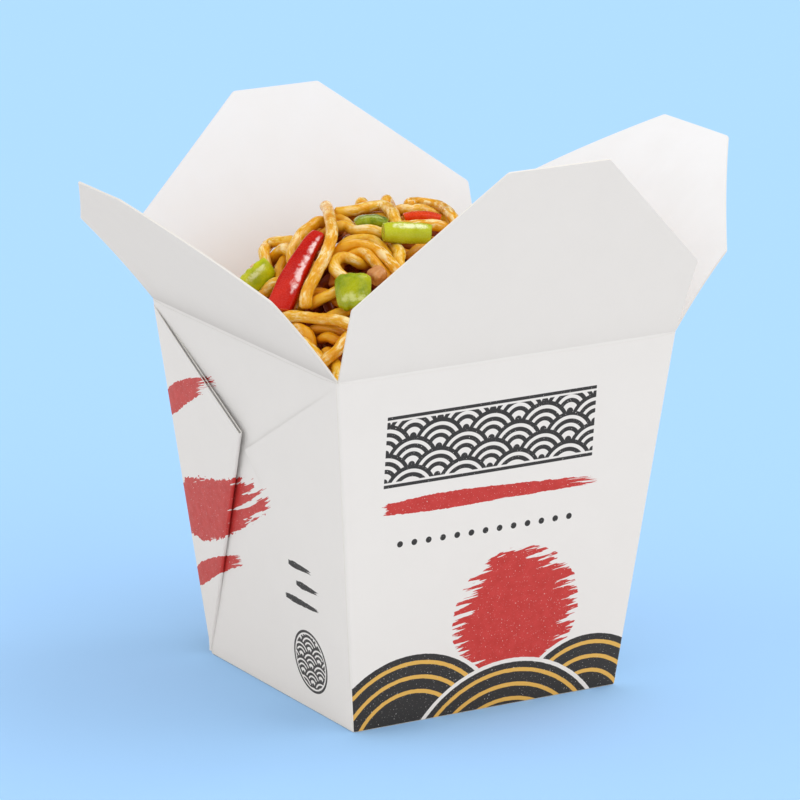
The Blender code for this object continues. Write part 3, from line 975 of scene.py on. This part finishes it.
def settle(pile, trees):
    """Pushes the placed noodles apart from each other, from the toppings and from the bed below.

    Each noodle keeps its shape: what moves is a displacement that is evened out along it.
    """
    homes = []
    for rise, *points in PLACED:
        route = smooth_route(points)
        z = dome_height(route[:, 0], route[:, 1]) + rise * MM - route[:, 2]
        homes.append(np.column_stack([route[:, :2], z]))
    home = np.concatenate(homes)
    owner = np.concatenate([np.full(len(part), k) for k, part in enumerate(homes)])
    order = np.arange(len(home))
    apart = (owner[:, None] != owner[None, :]) | (np.abs(order[:, None] - order[None, :]) > 5)
    inner = np.flatnonzero((owner[1:-1] == owner[:-2]) & (owner[1:-1] == owner[2:])) + 1
    spot = home.copy()
    for _ in range(SETTLE_ROUNDS):
        between = spot[:, None, :] - spot[None, :, :]
        distance = np.sqrt(np.sum(between ** 2, axis=2)) + 1e-9
        touching = apart & (distance < CONTACT)
        share = np.where(touching, (CONTACT - distance) / distance / 2, 0.0)
        count = np.maximum(touching.sum(axis=1), 1)
        push = np.sum(between * share[..., None], axis=1) / np.sqrt(count)[:, None]
        push[:, 2] *= np.where(push[:, 2] > 0, UPWARD, DOWNWARD)
        spot += push
        for k, point in enumerate(spot):
            place = Vector(point) + Vector((0.0, 0.0, RIM))
            for tree in trees:
                near, normal, _, gap = tree.find_nearest(place, 2.2 * NOODLE)
                if near is None:
                    continue
                signed = math.copysign(gap, (place - near).dot(normal))
                if signed < NOODLE:
                    spot[k] += np.array(normal) * (NOODLE - signed) * GIVE
        spot[:, 2] = np.maximum(spot[:, 2], pile.floor(spot[:, :2], 1.0) - SINK)
        spot[:, :2] = np.clip(spot[:, :2], ROOM_LOW, ROOM)
        moved = spot - home
        beside = moved[inner - 1] + moved[inner + 1]
        moved[inner] = (1 - KEEP_SHAPE) * moved[inner] + KEEP_SHAPE / 2 * beside
        spot = home + HOMEWARD * moved
    return [(spot[owner == k, :2], spot[owner == k, 2]) for k in range(len(homes))]


def make_room(pile):
    """Lowers the wanted surface where the listed noodles will lie."""
    dome = dome_height(pile.x, pile.y)
    for rise, *points in PLACED:
        for x, y, dip in smooth_route(points)[::2]:
            drop = max(0.0, NOODLE * 2.3 - rise * MM + dip)
            near = np.exp(-((pile.x - x) ** 2 + (pile.y - y) ** 2) / (2 * CLEARING ** 2))
            pile.target = np.minimum(pile.target, dome - drop * near)


def stamp_toppings(pile, toppings):
    """Marks the undersides of the toppings, which the noodles of the bed stay under."""
    for piece in toppings:
        box = np.array([tuple(corner) for corner in piece.bound_box])
        least, most = (((edge - pile.low) / CELL).astype(int)
                       for edge in (box.min(axis=0), box.max(axis=0)))
        for i in range(least[0], most[0] + 2):
            for j in range(least[1], most[1] + 2):
                start = (pile.low + CELL * i, pile.low + CELL * j, -1.0)
                hit, spot, _, _ = piece.ray_cast(start, (0.0, 0.0, 1.0))
                if hit:
                    pile.roof[i, j] = min(pile.roof[i, j], spot.z - RIM)


# ---- noodle meshes

NOODLE_END = [(0.42, 0.55), (0.22, 0.86)]  # how far out an end's rings lie, and how wide they are
STRAND_APART = 0.37           # each noodle's own coordinates start this much further on
HOLLOW_SPREAD = 2.4 * MM
CORE_CELLS = 30
CORE_DEPTH = PILE_DEPTH + 2.2 * MM  # the core's surface lies this far below the heap's
CORE_INSET = 1.2 * MM
CORE_FLOOR = BOARD + 0.6 * MM


def blurred(heights, spread):
    """Heights evened out over a spread of cells."""
    reach = int(3 * spread)
    kernel = np.exp(-np.arange(-reach, reach + 1) ** 2 / (2.0 * spread ** 2))
    kernel /= kernel.sum()
    heights = np.pad(heights, reach, mode="edge")
    for axis in (0, 1):
        heights = np.apply_along_axis(lambda line: np.convolve(line, kernel, mode="valid"), axis, heights)
    return heights


def noodle_tube(plan, line, rng, sides):
    """Rings of a noodle: uneven thickness, slightly flattened, with rounded cut ends."""
    spine = np.column_stack([plan, line + RIM])
    for axis in (0, 1):
        room = half_at(axis, np.minimum(spine[:, 2], RIM)) - BOARD - 1.2 * NOODLE
        spine[:, axis] = np.clip(spine[:, axis], -room, room)
    tangent = np.gradient(spine, axis=0)
    tangent /= np.linalg.norm(tangent, axis=1, keepdims=True)
    side = np.cross(tangent, np.array([0.0, 0.0, 1.0]))
    side /= np.maximum(np.linalg.norm(side, axis=1, keepdims=True), 1e-9)
    up = np.cross(side, tangent)
    last = len(spine) - 1
    along = np.arange(last + 1) * STEP
    wobble = np.zeros(last + 1)
    for wave in (0.011, 0.0047, 0.0023):
        wobble += rng.uniform(0.010, 0.028) * np.sin(along / wave * math.tau + rng.uniform(0, math.tau))
    size = rng.uniform(0.90, 1.04) * (1.0 + wobble)
    flat = rng.uniform(0.88, 1.0)
    roll = rng.uniform(0, math.tau) + along * rng.uniform(-60, 60)
    stations = [(0, -shift, shrink) for shift, shrink in NOODLE_END]
    stations += [(k, 0.0, 1.0) for k in range(last + 1)]
    stations += [(last, shift, shrink) for shift, shrink in reversed(NOODLE_END)]
    angles = np.linspace(0.0, math.tau, sides, endpoint=False)
    rings = []
    for k, shift, shrink in stations:
        centre = spine[k] + tangent[k] * shift * NOODLE
        lumps = 1.0 + 0.035 * np.cos(2 * angles + roll[k]) + 0.02 * np.cos(3 * angles - 2 * roll[k])
        radius = NOODLE * size[k] * shrink * lumps
        rings.append(centre + np.outer(radius * np.cos(angles), side[k])
                     + np.outer(radius * flat * np.sin(angles), up[k]))
    return np.array(rings)


def make_noodles(name, laid, seed, sides, material, level):
    """A mesh of noodles, each with its own tone, strand coordinates and depth in the heap."""
    rng = random.Random(seed)
    verts, faces, tone, strand = [], [], [], []
    first = 0
    turns = np.linspace(0.0, math.tau, sides, endpoint=False)
    for plan, line in laid:
        rings = noodle_tube(plan, line, rng, sides)
        count = len(rings)
        along = np.repeat(np.arange(count) * STEP, sides) + len(strand) * STRAND_APART
        strand.append(np.column_stack([along, np.tile(NOODLE * np.cos(turns), count),
                                       np.tile(NOODLE * np.sin(turns), count)]))
        verts.append(rings.reshape(-1, 3))
        tone.append(np.full(count * sides, rng.uniform(0.0, 1.0)))
        faces += turned(grid_faces(count, sides, first=first))
        after = first + count * sides
        faces += [tuple(range(first, first + sides)), tuple(range(after - 1, after - sides - 1, -1))]
        first = after
    verts = np.concatenate(verts)
    mesh = mesh_from(name, verts, faces)
    add_values(mesh, "tone", np.concatenate(tone))
    add_values(mesh, "strand", np.concatenate(strand))
    # depth below the evened-out heap, from which the material paints shade in the hollows and highlights on
    # the tops
    cells = np.clip(np.rint((verts[:, :2] + TOP_HALF[0]) / CELL).astype(int), 0, level.shape[0] - 1)
    depth = level[cells[:, 0], cells[:, 1]] + RIM - verts[:, 2]
    add_values(mesh, "hollow", np.clip(depth / MM, -6.0, 12.0))
    new_object(name, mesh, [material])


def make_core(material):
    """Painted shade: a dark red-brown surface inside the heap, seen only between noodles, standing for its
    shaded depths.
    """
    verts = []
    shares = [2.0 * i / CORE_CELLS - 1.0 for i in range(CORE_CELLS + 1)]
    for u in shares:
        for v in shares:
            z = float(dome_height(u * HEAP_HALF[0], v * HEAP_HALF[1])) - CORE_DEPTH
            z += 0.6 * MM * noise.noise(Vector((u * 14, v * 14, 0.0)))
            x, y = (share * (HEAP_HALF[axis] - CORE_INSET + TAPER[axis] * min(0.0, z))
                    for axis, share in enumerate((u, v)))
            verts.append((x, y, RIM + z))
    size = CORE_CELLS + 1
    faces = turned(grid_faces(size, size, closed=False))
    rim = border(size, size)
    foot = list(range(len(verts), len(verts) + len(rim)))
    for x, y, z in [verts[k] for k in rim]:
        verts.append((x * (half_at(0, CORE_FLOOR) - CORE_INSET) / half_at(0, z),
                      y * (half_at(1, CORE_FLOOR) - CORE_INSET) / half_at(1, z), CORE_FLOOR))
    faces += zip(rim[1:] + rim[:1], rim, foot, foot[1:] + foot[:1])
    faces.append(foot[::-1])
    core = new_object("noodle_core", mesh_from("noodle_core", verts, faces), [material])
    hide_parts("noodles")


def noodle_material():
    """Fried noodles with a wet coat: painted highlights of pale cream on the proud tops, and a darker brown
    in the hollows, partly pooled dressing and partly painted shade.
    """
    graph = Graph("noodle_surface")
    place = graph.place()
    hollow = graph.attribute("hollow")
    patch = graph.noise(place, 260.0, 3.0, 0.6)
    grain = graph.noise(place, 1500.0, 3.0, 0.65)
    own = graph.stretched(graph.attribute("strand", "Vector"), (0.36, 1.0, 1.0))
    streak = graph.noise(own, 1150.0, 3.0, 0.6)
    pale, gold, amber = (0.85, 0.50, 0.028), (0.78, 0.35, 0.001), (0.68, 0.20, 0.001)
    cream, sauce_and_shade = (0.96, 0.78, 0.42), (0.30, 0.030, 0.001)
    base = graph.mix((graph.attribute("tone") * 0.5 + patch * 0.8).ramp(0.30, 0.95), pale, gold)
    # painted highlight: pale cream streaks on the tops that stand proud
    painted_sheen = streak.ramp(0.47, 0.57) * patch.ramp(0.64, 0.42) * hollow.ramp(-0.8, -2.4) * 0.9
    for share, colour in ((painted_sheen, cream),
                          (patch.ramp(0.55, 0.76, 0.0, 0.55), amber),
                          # painted shade, partly pooled dressing: amber and then dark brown the deeper a
                          # point lies in the hollows
                          (hollow.ramp(-0.4, 2.4, 0.0, 0.75), amber),
                          (hollow.ramp(1.6, 5.5, 0.0, 0.96), sauce_and_shade),
                          (streak.ramp(0.46, 0.32, 0.0, 0.45), amber),
                          (grain.ramp(0.62, 0.78, 0.0, 0.30), amber)):
        base = graph.mix(share, base, colour)
    lumps = graph.bump(graph.noise(place, 620.0), 0.6, 0.30 * MM)
    graph.set(Base_Color=base, Subsurface_Weight=0.15, Subsurface_Scale=0.0010,
              Subsurface_Radius=(1.0, 0.45, 0.12), Specular_IOR_Level=0.25,
              Roughness=streak.ramp(0.35, 0.65, 0.24, 0.50), Coat_Weight=0.5, Coat_Roughness=0.14,
              Coat_IOR=1.40, Normal=graph.bump(grain, 0.35, 0.09 * MM, lumps))
    return graph.material


def core_material():
    graph = Graph("sauce_core")
    # a dark red-brown standing for the shade deep in the heap: painted shade
    patch = graph.noise(graph.place(), 160.0, 3.0, 0.6)
    graph.set(Base_Color=graph.mix(patch, (0.10, 0.010, 0.002), (0.22, 0.035, 0.003)), Roughness=0.38,
              Coat_Weight=0.3, Coat_Roughness=0.2, Normal=graph.bump(patch, 0.6, 0.6 * MM))
    return graph.material


# ---------------------------------------------------------------- toppings

# size and place in millimetres, lift off the heap in millimetres, angles in degrees, as in the CAD
Topping = namedtuple("Topping", "kind size place heading lift bend taper roll tilt",
                     defaults=(0, 0.0, 0, 0))
TOPPINGS = {
    "red_pepper_strip_long": Topping("red_pepper", (26.2, 6.4, 3.0), (-32.5, 0.5), 22, 2.2, 24, -0.27, 19),
    "red_pepper_strip_back": Topping("red_pepper", (9.4, 4.2, 2.6), (6.8, 6.1), -27, 1.1, 26),
    "red_pepper_strip_right": Topping("red_pepper", (22.0, 5.6, 3.0), (31.0, 8.0), 68, 1.4, 34, 0.25),
    "red_pepper_strip_front": Topping("red_pepper", (18.0, 5.2, 3.0), (2.0, -30.0), 15, 1.2, 30, -0.2),
    "green_pepper_left": Topping("green_pepper", (8.4, 6.0, 3.6), (-36.8, 13.0), -20, 2.2, 60, roll=70),
    "green_pepper_middle": Topping("green_pepper", (7.9, 9.8, 3.4), (-27.2, -17.3), -30, 2.1, 74, roll=22),
    "green_pepper_crown": Topping("green_pepper", (7.8, 6.0, 3.4), (-7.8, 7.4), -30, 1.4, 60),
    "green_pepper_right": Topping("green_pepper", (11.2, 7.8, 3.4), (31.0, 29.0), 50, 1.4, 70),
    "spring_onion_stalk": Topping("spring_onion", (12.4, 5.6, 5.6), (-4.4, -4.9), -27, 2.0, tilt=3),
    "spring_onion_slice": Topping("spring_onion", (9.0, 5.4, 5.4), (30.0, -30.0), -40, 1.4),
    "meat_chunk_middle": Topping("meat", (4.6, 4.6, 4.4), (-19.1, -14.9), 20, -0.1),
    "meat_chunk_right": Topping("meat", (12.0, 9.0, 6.8), (25.0, -13.0), 40, 1.0),
    "meat_chunk_back": Topping("meat", (10.5, 8.0, 5.6), (10.0, 35.0), -20, -0.8),
}
BAR_RINGS = 30
BAR_SIDES = 28
SQUARENESS = {"red_pepper": 0.62, "green_pepper": 0.74}
SWELL = {"red_pepper": 0.07, "green_pepper": 0.13, "spring_onion": 0.07}
# rings that close a cut end: their share of its size and how far out each lies, in millimetres
END_RINGS = [(0.93, 0.12), (0.70, 0.14), (0.35, 0.08)]
HOLLOW_END_RINGS = [(0.94, 0.10), (0.86, 0.12), (0.62, 0.06), (0.55, -0.06), (0.30, -0.04), (0.10, 0.0)]
# where a bar gets a painted highlight: the turn about its spine, in degrees, and the spread
PAINTED_HIGHLIGHT = {"red_pepper": (121.0, 22.0), "green_pepper": (112.0, 15.0), "spring_onion": (108.0, 20.0),
         "green_pepper_left": (72.0, 14.0)}
PAINTED_HIGHLIGHT_LENGTH = 18.0           # millimetres; a shorter red bar gets a fainter painted highlight


def seat(topping):
    """World matrix that lays a topping on the heap, its long side along its heading."""
    x, y = (value * MM for value in topping.place)
    normal = dome_normal(x, y)
    heading = math.radians(topping.heading)
    along = Vector((math.cos(heading), math.sin(heading), 0.0))
    along = (along - normal * along.dot(normal)).normalized()
    across = normal.cross(along)
    tilt = Matrix.Rotation(-math.radians(topping.tilt), 4, "Y")
    roll = Matrix.Rotation(math.radians(topping.roll), 4, "X")
    placed = Matrix((along, across, normal)).transposed().to_4x4() @ tilt @ roll
    placed.translation = Vector((x, y, RIM + float(dome_height(x, y)))) + normal * topping.lift * MM
    return placed


def bar_section(kind, angle, width, thickness):
    """A point of a bar's section: across and up."""
    across = math.cos(angle)
    up = math.sin(angle)
    if kind in SQUARENESS:
        across, up = (math.copysign(abs(value) ** SQUARENESS[kind], value) for value in (across, up))
        up += 0.22 * (1.0 - across ** 2) if math.sin(angle) < 0 else 0.0
    return across * width / 2, up * thickness / 2


def bar_points(topping, seed):
    """Rings of a cut vegetable bar: arched, with a skin side, a hollowed flesh side and uneven cuts."""
    length, width, thickness = (value * MM for value in topping.size)
    bend = math.radians(topping.bend)
    verts = []
    for ring in range(BAR_RINGS + 1):
        along = 2.0 * ring / BAR_RINGS - 1.0
        angle = bend * along / 2
        if bend:
            arc = length / bend
            centre = Vector((arc * math.sin(angle), 0.0, arc * (math.cos(angle) - 1.0)))
        else:
            centre = Vector((along * length / 2, 0.0, 0.0))
        forward = Vector((math.cos(angle), 0.0, -math.sin(angle)))
        up = Vector((math.sin(angle), 0.0, math.cos(angle)))
        end = 1.0 - 0.10 * abs(along) ** 8 - 0.06 * abs(along) ** 2
        for side in range(BAR_SIDES):
            turn = math.tau * side / BAR_SIDES
            across, lift = bar_section(topping.kind, turn, width * (1.0 + topping.taper * along), thickness)
            place = Vector((along * 3.0 + seed, math.cos(turn), math.sin(turn)))
            uneven = end * (1.0 + SWELL[topping.kind] * noise.noise(place * 0.9)
                            + 0.025 * noise.noise(place * 3.1))
            slant = forward * 0.10 * across * math.copysign(abs(along) ** 6, along)
            verts.append(centre + slant + Vector((0.0, across * uneven, 0.0)) + up * lift * uneven)
    return verts


def cap_bar(verts, faces, steps):
    """Closes both ends with inset rings, so that a cut end is flat with a soft edge."""
    for start, outward in ((0, -1), (len(verts) - BAR_SIDES, 1)):
        ring = verts[start:start + BAR_SIDES]
        middle = sum(ring, Vector()) / BAR_SIDES
        axis = (ring[0] - middle).cross(ring[BAR_SIDES // 4] - middle).normalized()
        ahead = verts[start] - verts[start - BAR_SIDES] if start else verts[BAR_SIDES] - verts[0]
        if axis.dot(ahead) < 0:
            axis = -axis
        last = list(range(start, start + BAR_SIDES))
        for share, push in steps:
            now = list(range(len(verts), len(verts) + BAR_SIDES))
            verts.extend(middle.lerp(point, share) + axis * outward * push * MM for point in ring)
            faces.extend(face[::outward] for face in zip(last, last[1:] + last[:1], now[1:] + now[:1], now))
            last = now
        faces.append(last[::outward])


def bar_mesh(name, topping, seed):
    verts = bar_points(topping, seed)
    faces = [face[::-1] for face in grid_faces(BAR_RINGS + 1, BAR_SIDES)]
    skin = len(faces)
    cap_bar(verts, faces, HOLLOW_END_RINGS if topping.kind == "spring_onion" else END_RINGS)
    mesh = mesh_from(name + "_piece", verts, faces, [int(k >= skin) for k in range(len(faces))])
    fix = bmesh.new()
    fix.from_mesh(mesh)
    bmesh.ops.recalc_face_normals(fix, faces=fix.faces)
    fix.to_mesh(mesh)
    fix.free()
    # painted highlight: a pale band at a set turn about the bar, where light would glance off it
    middle, spread = PAINTED_HIGHLIGHT.get(name, PAINTED_HIGHLIGHT[topping.kind])
    full = min(1.0, topping.size[0] / PAINTED_HIGHLIGHT_LENGTH) if topping.kind == "red_pepper" else 1.0
    gloss = np.zeros(len(verts))
    for index in range((BAR_RINGS + 1) * BAR_SIDES):
        along = 2.0 * (index // BAR_SIDES) / BAR_RINGS - 1.0
        apart = (360.0 * (index % BAR_SIDES) / BAR_SIDES - middle) / spread
        gloss[index] = full * math.exp(-apart ** 2) * max(0.0, 1.0 - ((along - 0.1) / 0.85) ** 4)
    add_values(mesh, "gloss", gloss)
    return mesh


def chunk_mesh(name, topping, seed):
    """A browned meat chunk: a torn block with ridged fibres and rounded edges."""
    size = Vector(topping.size) * MM / 2
    chunk = bmesh.new()
    bmesh.ops.create_icosphere(chunk, subdivisions=5, radius=1.0)
    for vert in chunk.verts:
        squared = Vector([math.copysign(abs(c) ** 0.55, c) for c in vert.co])
        spot = Vector([squared[k] * size[k] * 0.94 for k in range(3)])
        place = spot * 420.0 + Vector((seed, 0.0, 0.0))
        torn = 0.13 * noise.noise(place) + 0.06 * noise.noise(place * 2.7)
        fibre = 0.025 * math.sin(place.y * 5.0 + 3.0 * noise.noise(place * 0.8))
        vert.co = spot * (1.0 + torn + fibre)
    mesh = bpy.data.meshes.new(name + "_piece")
    chunk.to_mesh(mesh)
    chunk.free()
    return mesh


# two colours, the scale of their patches, coat, bumps, then the painted highlight's colour and share
GREEN_FLESH = ((0.46, 0.56, 0.04), (0.66, 0.70, 0.16), 260.0, 0.4)
VEGETABLES = {
    "red_pepper_skin": ((0.48, 0.003, 0.0005), (0.62, 0.014, 0.001), 190.0, 0.45, 0.5,
                        (0.96, 0.72, 0.70), 0.85),
    "red_pepper_flesh": ((0.62, 0.03, 0.005), (0.72, 0.09, 0.012), 260.0, 0.4),
    "red_pepper_ripe_skin": ((0.66, 0.026, 0.0005), (0.82, 0.075, 0.001), 190.0, 0.2, 0.4),
    "red_pepper_ripe_flesh": ((0.72, 0.09, 0.006), (0.80, 0.16, 0.012), 260.0, 0.4),
    "green_pepper_skin": ((0.20, 0.29, 0.002), (0.47, 0.50, 0.004), 240.0, 0.7, 0.45,
                          (0.76, 0.80, 0.34), 0.60),
    "green_pepper_flesh": GREEN_FLESH,
    "green_pepper_pale_skin": ((0.36, 0.43, 0.002), (0.68, 0.66, 0.006), 240.0, 0.35, 0.45,
                               (0.86, 0.88, 0.42), 0.75),
    "green_pepper_pale_flesh": GREEN_FLESH,
    "green_pepper_deep_skin": ((0.10, 0.17, 0.001), (0.30, 0.35, 0.003), 240.0, 0.5, 0.45,
                               (0.70, 0.78, 0.30), 0.45),
    "green_pepper_deep_flesh": GREEN_FLESH,
    "spring_onion_skin": ((0.46, 0.50, 0.006), (0.62, 0.65, 0.030), 110.0, 0.5, 0.2,
                          (0.86, 0.90, 0.52), 0.9),
    "spring_onion_flesh": ((0.32, 0.38, 0.004), (0.50, 0.54, 0.02), 420.0, 0.4),
}
OWN_LOOKS = {"red_pepper_strip_back": "red_pepper_ripe", "green_pepper_left": "green_pepper_pale",
             "green_pepper_crown": "green_pepper_deep"}


def vegetable_material(name, skin, flesh, spot_scale, coat, bumps=0.25, painted_highlight_colour=None, share=0.0):
    """Wet vegetable skin or flesh, with broken pale painted highlights where the bar's highlight attribute
    is high.
    """
    graph = Graph(name)
    place = graph.place()
    fine = graph.noise(place, 2400.0, 2.0, 0.6)
    colour = graph.mix(graph.noise(place, spot_scale, 3.0, 0.55).ramp(0.34, 0.66), skin, flesh)
    if painted_highlight_colour:
        # the painted highlight is mixed into the colour
        broken = graph.attribute("gloss") * graph.noise(place, 800.0, 3.0, 0.6).ramp(0.30, 0.62, 0.25, 1.0)
        colour = graph.mix(broken.ramp(0.22, 0.62, 0.0, share), colour, painted_highlight_colour)
    lumps = graph.bump(graph.noise(place, 330.0), bumps, 0.35 * MM)
    graph.set(Base_Color=colour, Subsurface_Weight=0.06, Subsurface_Scale=0.0012,
              Subsurface_Radius=(0.8, 0.5, 0.2), Specular_IOR_Level=0.25,
              Roughness=fine.ramp(0.3, 0.7, 0.20, 0.34), Coat_Weight=coat, Coat_Roughness=0.10,
              Coat_IOR=1.40, Normal=graph.bump(fine, 0.20, 0.05 * MM, lumps))
    return graph.material


def meat_material():
    graph = Graph("meat_surface")
    place = graph.place()
    patch = graph.noise(place, 230.0, 4.0, 0.6)
    fibre = graph.noise(graph.stretched(place, (1.0, 4.0, 1.0)), 500.0, 3.0, 0.6)
    base = graph.mix(patch.ramp(0.35, 0.68), (0.70, 0.30, 0.075), (0.46, 0.13, 0.016))
    graph.set(Base_Color=graph.mix(fibre.ramp(0.5, 0.75, 0.0, 0.5), base, (0.82, 0.47, 0.17)),
              Roughness=patch.ramp(0.3, 0.7, 0.35, 0.55), Subsurface_Weight=0.1, Subsurface_Scale=0.001,
              Coat_Weight=0.35, Coat_Roughness=0.18, Normal=graph.bump(fibre, 0.6, 0.2 * MM))
    return graph.material


def make_toppings():
    looks = {name: vegetable_material(name, *values) for name, values in VEGETABLES.items()}
    meat = meat_material()
    made = []
    for index, (name, topping) in enumerate(TOPPINGS.items()):
        if topping.kind == "meat":
            mesh = chunk_mesh(name, topping, 3.1 * index)
            materials = [meat]
        else:
            mesh = bar_mesh(name, topping, 5.3 * index)
            look = OWN_LOOKS.get(name, topping.kind)
            materials = [looks[look + "_skin"], looks[look + "_flesh"]]
        mesh.transform(seat(topping))
        piece = new_object(name + "_piece", mesh, materials)
        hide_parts(name)
        made.append(piece)
    bpy.context.view_layer.update()
    return made


def make_heap():
    toppings = make_toppings()
    trees = [BVHTree.FromPolygons([vert.co for vert in piece.data.vertices],
                                  [face.vertices[:] for face in piece.data.polygons]) for piece in toppings]
    pile = Pile()
    stamp_toppings(pile, toppings)
    make_room(pile)
    buried = lay_random(pile, random.Random(21))
    placed = settle(pile, trees)
    for noodle in placed:
        pile.lay(*noodle)
    level = blurred(pile.height, HOLLOW_SPREAD / CELL)
    material = noodle_material()
    make_core(core_material())
    make_noodles("noodles_deep", deep_mat(), 3, 10, material, level)
    make_noodles("noodles_pile", [tucked(*noodle) for noodle in buried], 5, 12, material, level)
    make_noodles("noodles_top", placed, 9, 18, material, level)


# ---------------------------------------------------------------- stage

FLOOR_HALF = 12.0
FLOOR_GREY = (0.72, 0.72, 0.72)       # what the floor throws back on the carton
FLOOR_BLUE = (0.368, 0.618, 0.945)    # what the camera sees
SKY_BLUE = (0.440, 0.730, 1.0)
WHITE = (1.0, 1.0, 1.0)
SKY_LIGHT = 0.935
SKY_SHEEN = 0.12
# each soft sun's turn from the front towards the right, its elevation, strength and softness
SUNS = {"key": (62.0, 70.0, 0.50, 36.0), "fill": (14.0, 34.0, 0.31, 50.0),
        "left": (-110.0, 55.0, 0.20, 50.0), "glint": (86.0, 47.0, 0.14, 9.0)}
CAMERA_AZIMUTH = -30.33
CAMERA_ELEVATION = 16.36
CAMERA_DISTANCE = 1.5267
CAMERA_LENS = 261.35
AIM_RIGHT = -0.0030
AIM_UP = 0.0245


def make_floor():
    graph = Graph("floor_paint")
    seen = graph.mix(graph.node("LightPath", {}, "Is Camera Ray"), FLOOR_GREY, FLOOR_BLUE)
    graph.set(Base_Color=seen, Roughness=0.9, Specular_IOR_Level=0.1)
    corners = [(FLOOR_HALF * x, FLOOR_HALF * y, 0) for x, y in ((-1, -1), (1, -1), (1, 1), (-1, 1))]
    mesh = mesh_from("floor", corners, [(0, 1, 2, 3)])
    mesh.materials.append(graph.material)
    floor = linked("floor", mesh)


def make_world():
    """Soft light from all round, dimmer in reflections, as in a studio with dark walls."""
    world = bpy.data.worlds.new("studio")
    bpy.context.scene.world = world
    world.use_nodes = True
    tree = world.node_tree
    tree.nodes.clear()
    ray = tree.nodes.new("ShaderNodeLightPath")
    result = None
    for kind, colour, strength in ((None, WHITE, SKY_LIGHT), ("Is Glossy Ray", WHITE, SKY_SHEEN),
                                   ("Is Camera Ray", SKY_BLUE, 1.0)):
        shade = tree.nodes.new("ShaderNodeBackground")
        shade.inputs["Color"].default_value = (*colour, 1.0)
        shade.inputs["Strength"].default_value = strength
        if kind:
            mix = tree.nodes.new("ShaderNodeMixShader")
            for source, socket in zip((ray.outputs[kind], result, shade.outputs[0]), mix.inputs):
                tree.links.new(source, socket)
            shade = mix
        result = shade.outputs[0]
    out = tree.nodes.new("ShaderNodeOutputWorld")
    tree.links.new(result, out.inputs["Surface"])


def direction(azimuth, elevation):
    """Towards a place seen from the carton, at an azimuth from the front towards the right."""
    azimuth, elevation = math.radians(azimuth), math.radians(elevation)
    return Vector((math.sin(azimuth) * math.cos(elevation), -math.cos(azimuth) * math.cos(elevation),
                   math.sin(elevation)))


def make_lights():
    for name, (azimuth, elevation, strength, softness) in SUNS.items():
        data = bpy.data.lights.new(name, "SUN")
        data.energy = strength
        data.angle = math.radians(softness)
        linked(name, data).rotation_euler = direction(azimuth, elevation).to_track_quat("Z", "Y").to_euler()


def make_camera():
    back = direction(CAMERA_AZIMUTH, CAMERA_ELEVATION)
    right = Vector((0.0, 0.0, 1.0)).cross(back).normalized()
    centre = Vector((0.0, 0.0, RIM / 2))
    data = bpy.data.cameras.new("camera")
    data.lens = CAMERA_LENS
    data.clip_start = 0.05
    data.clip_end = 60.0
    camera = linked("camera", data)
    camera.location = centre + back * CAMERA_DISTANCE
    aim = centre + right * AIM_RIGHT + back.cross(right) * AIM_UP
    camera.rotation_euler = (camera.location - aim).to_track_quat("Z", "Y").to_euler()
    bpy.context.scene.camera = camera


def make_carton():
    white = board_material("board_plain", BOARD_WHITE)
    inside = board_material("board_inside", BOARD_INSIDE)
    painted_light = board_material("board_inside_bright", BOARD_INSIDE_PAINTED_LIGHT)
    edge = edge_material()
    materials = [white, edge, printed_material("board_print", "X"),
                 printed_material("board_print_side", "Y")]
    make_walls(materials)
    make_webs(materials)
    for name in FLAPS:
        # the right flap's inside gets the whiter copy of the board: painted light
        make_flap(name, [white, edge, painted_light if name == "right" else inside])


bpy.context.scene.view_settings.view_transform = "Standard"
make_camera()
make_world()
make_lights()
make_floor()
make_carton()
make_heap()

bpy.context.view_layer.update()
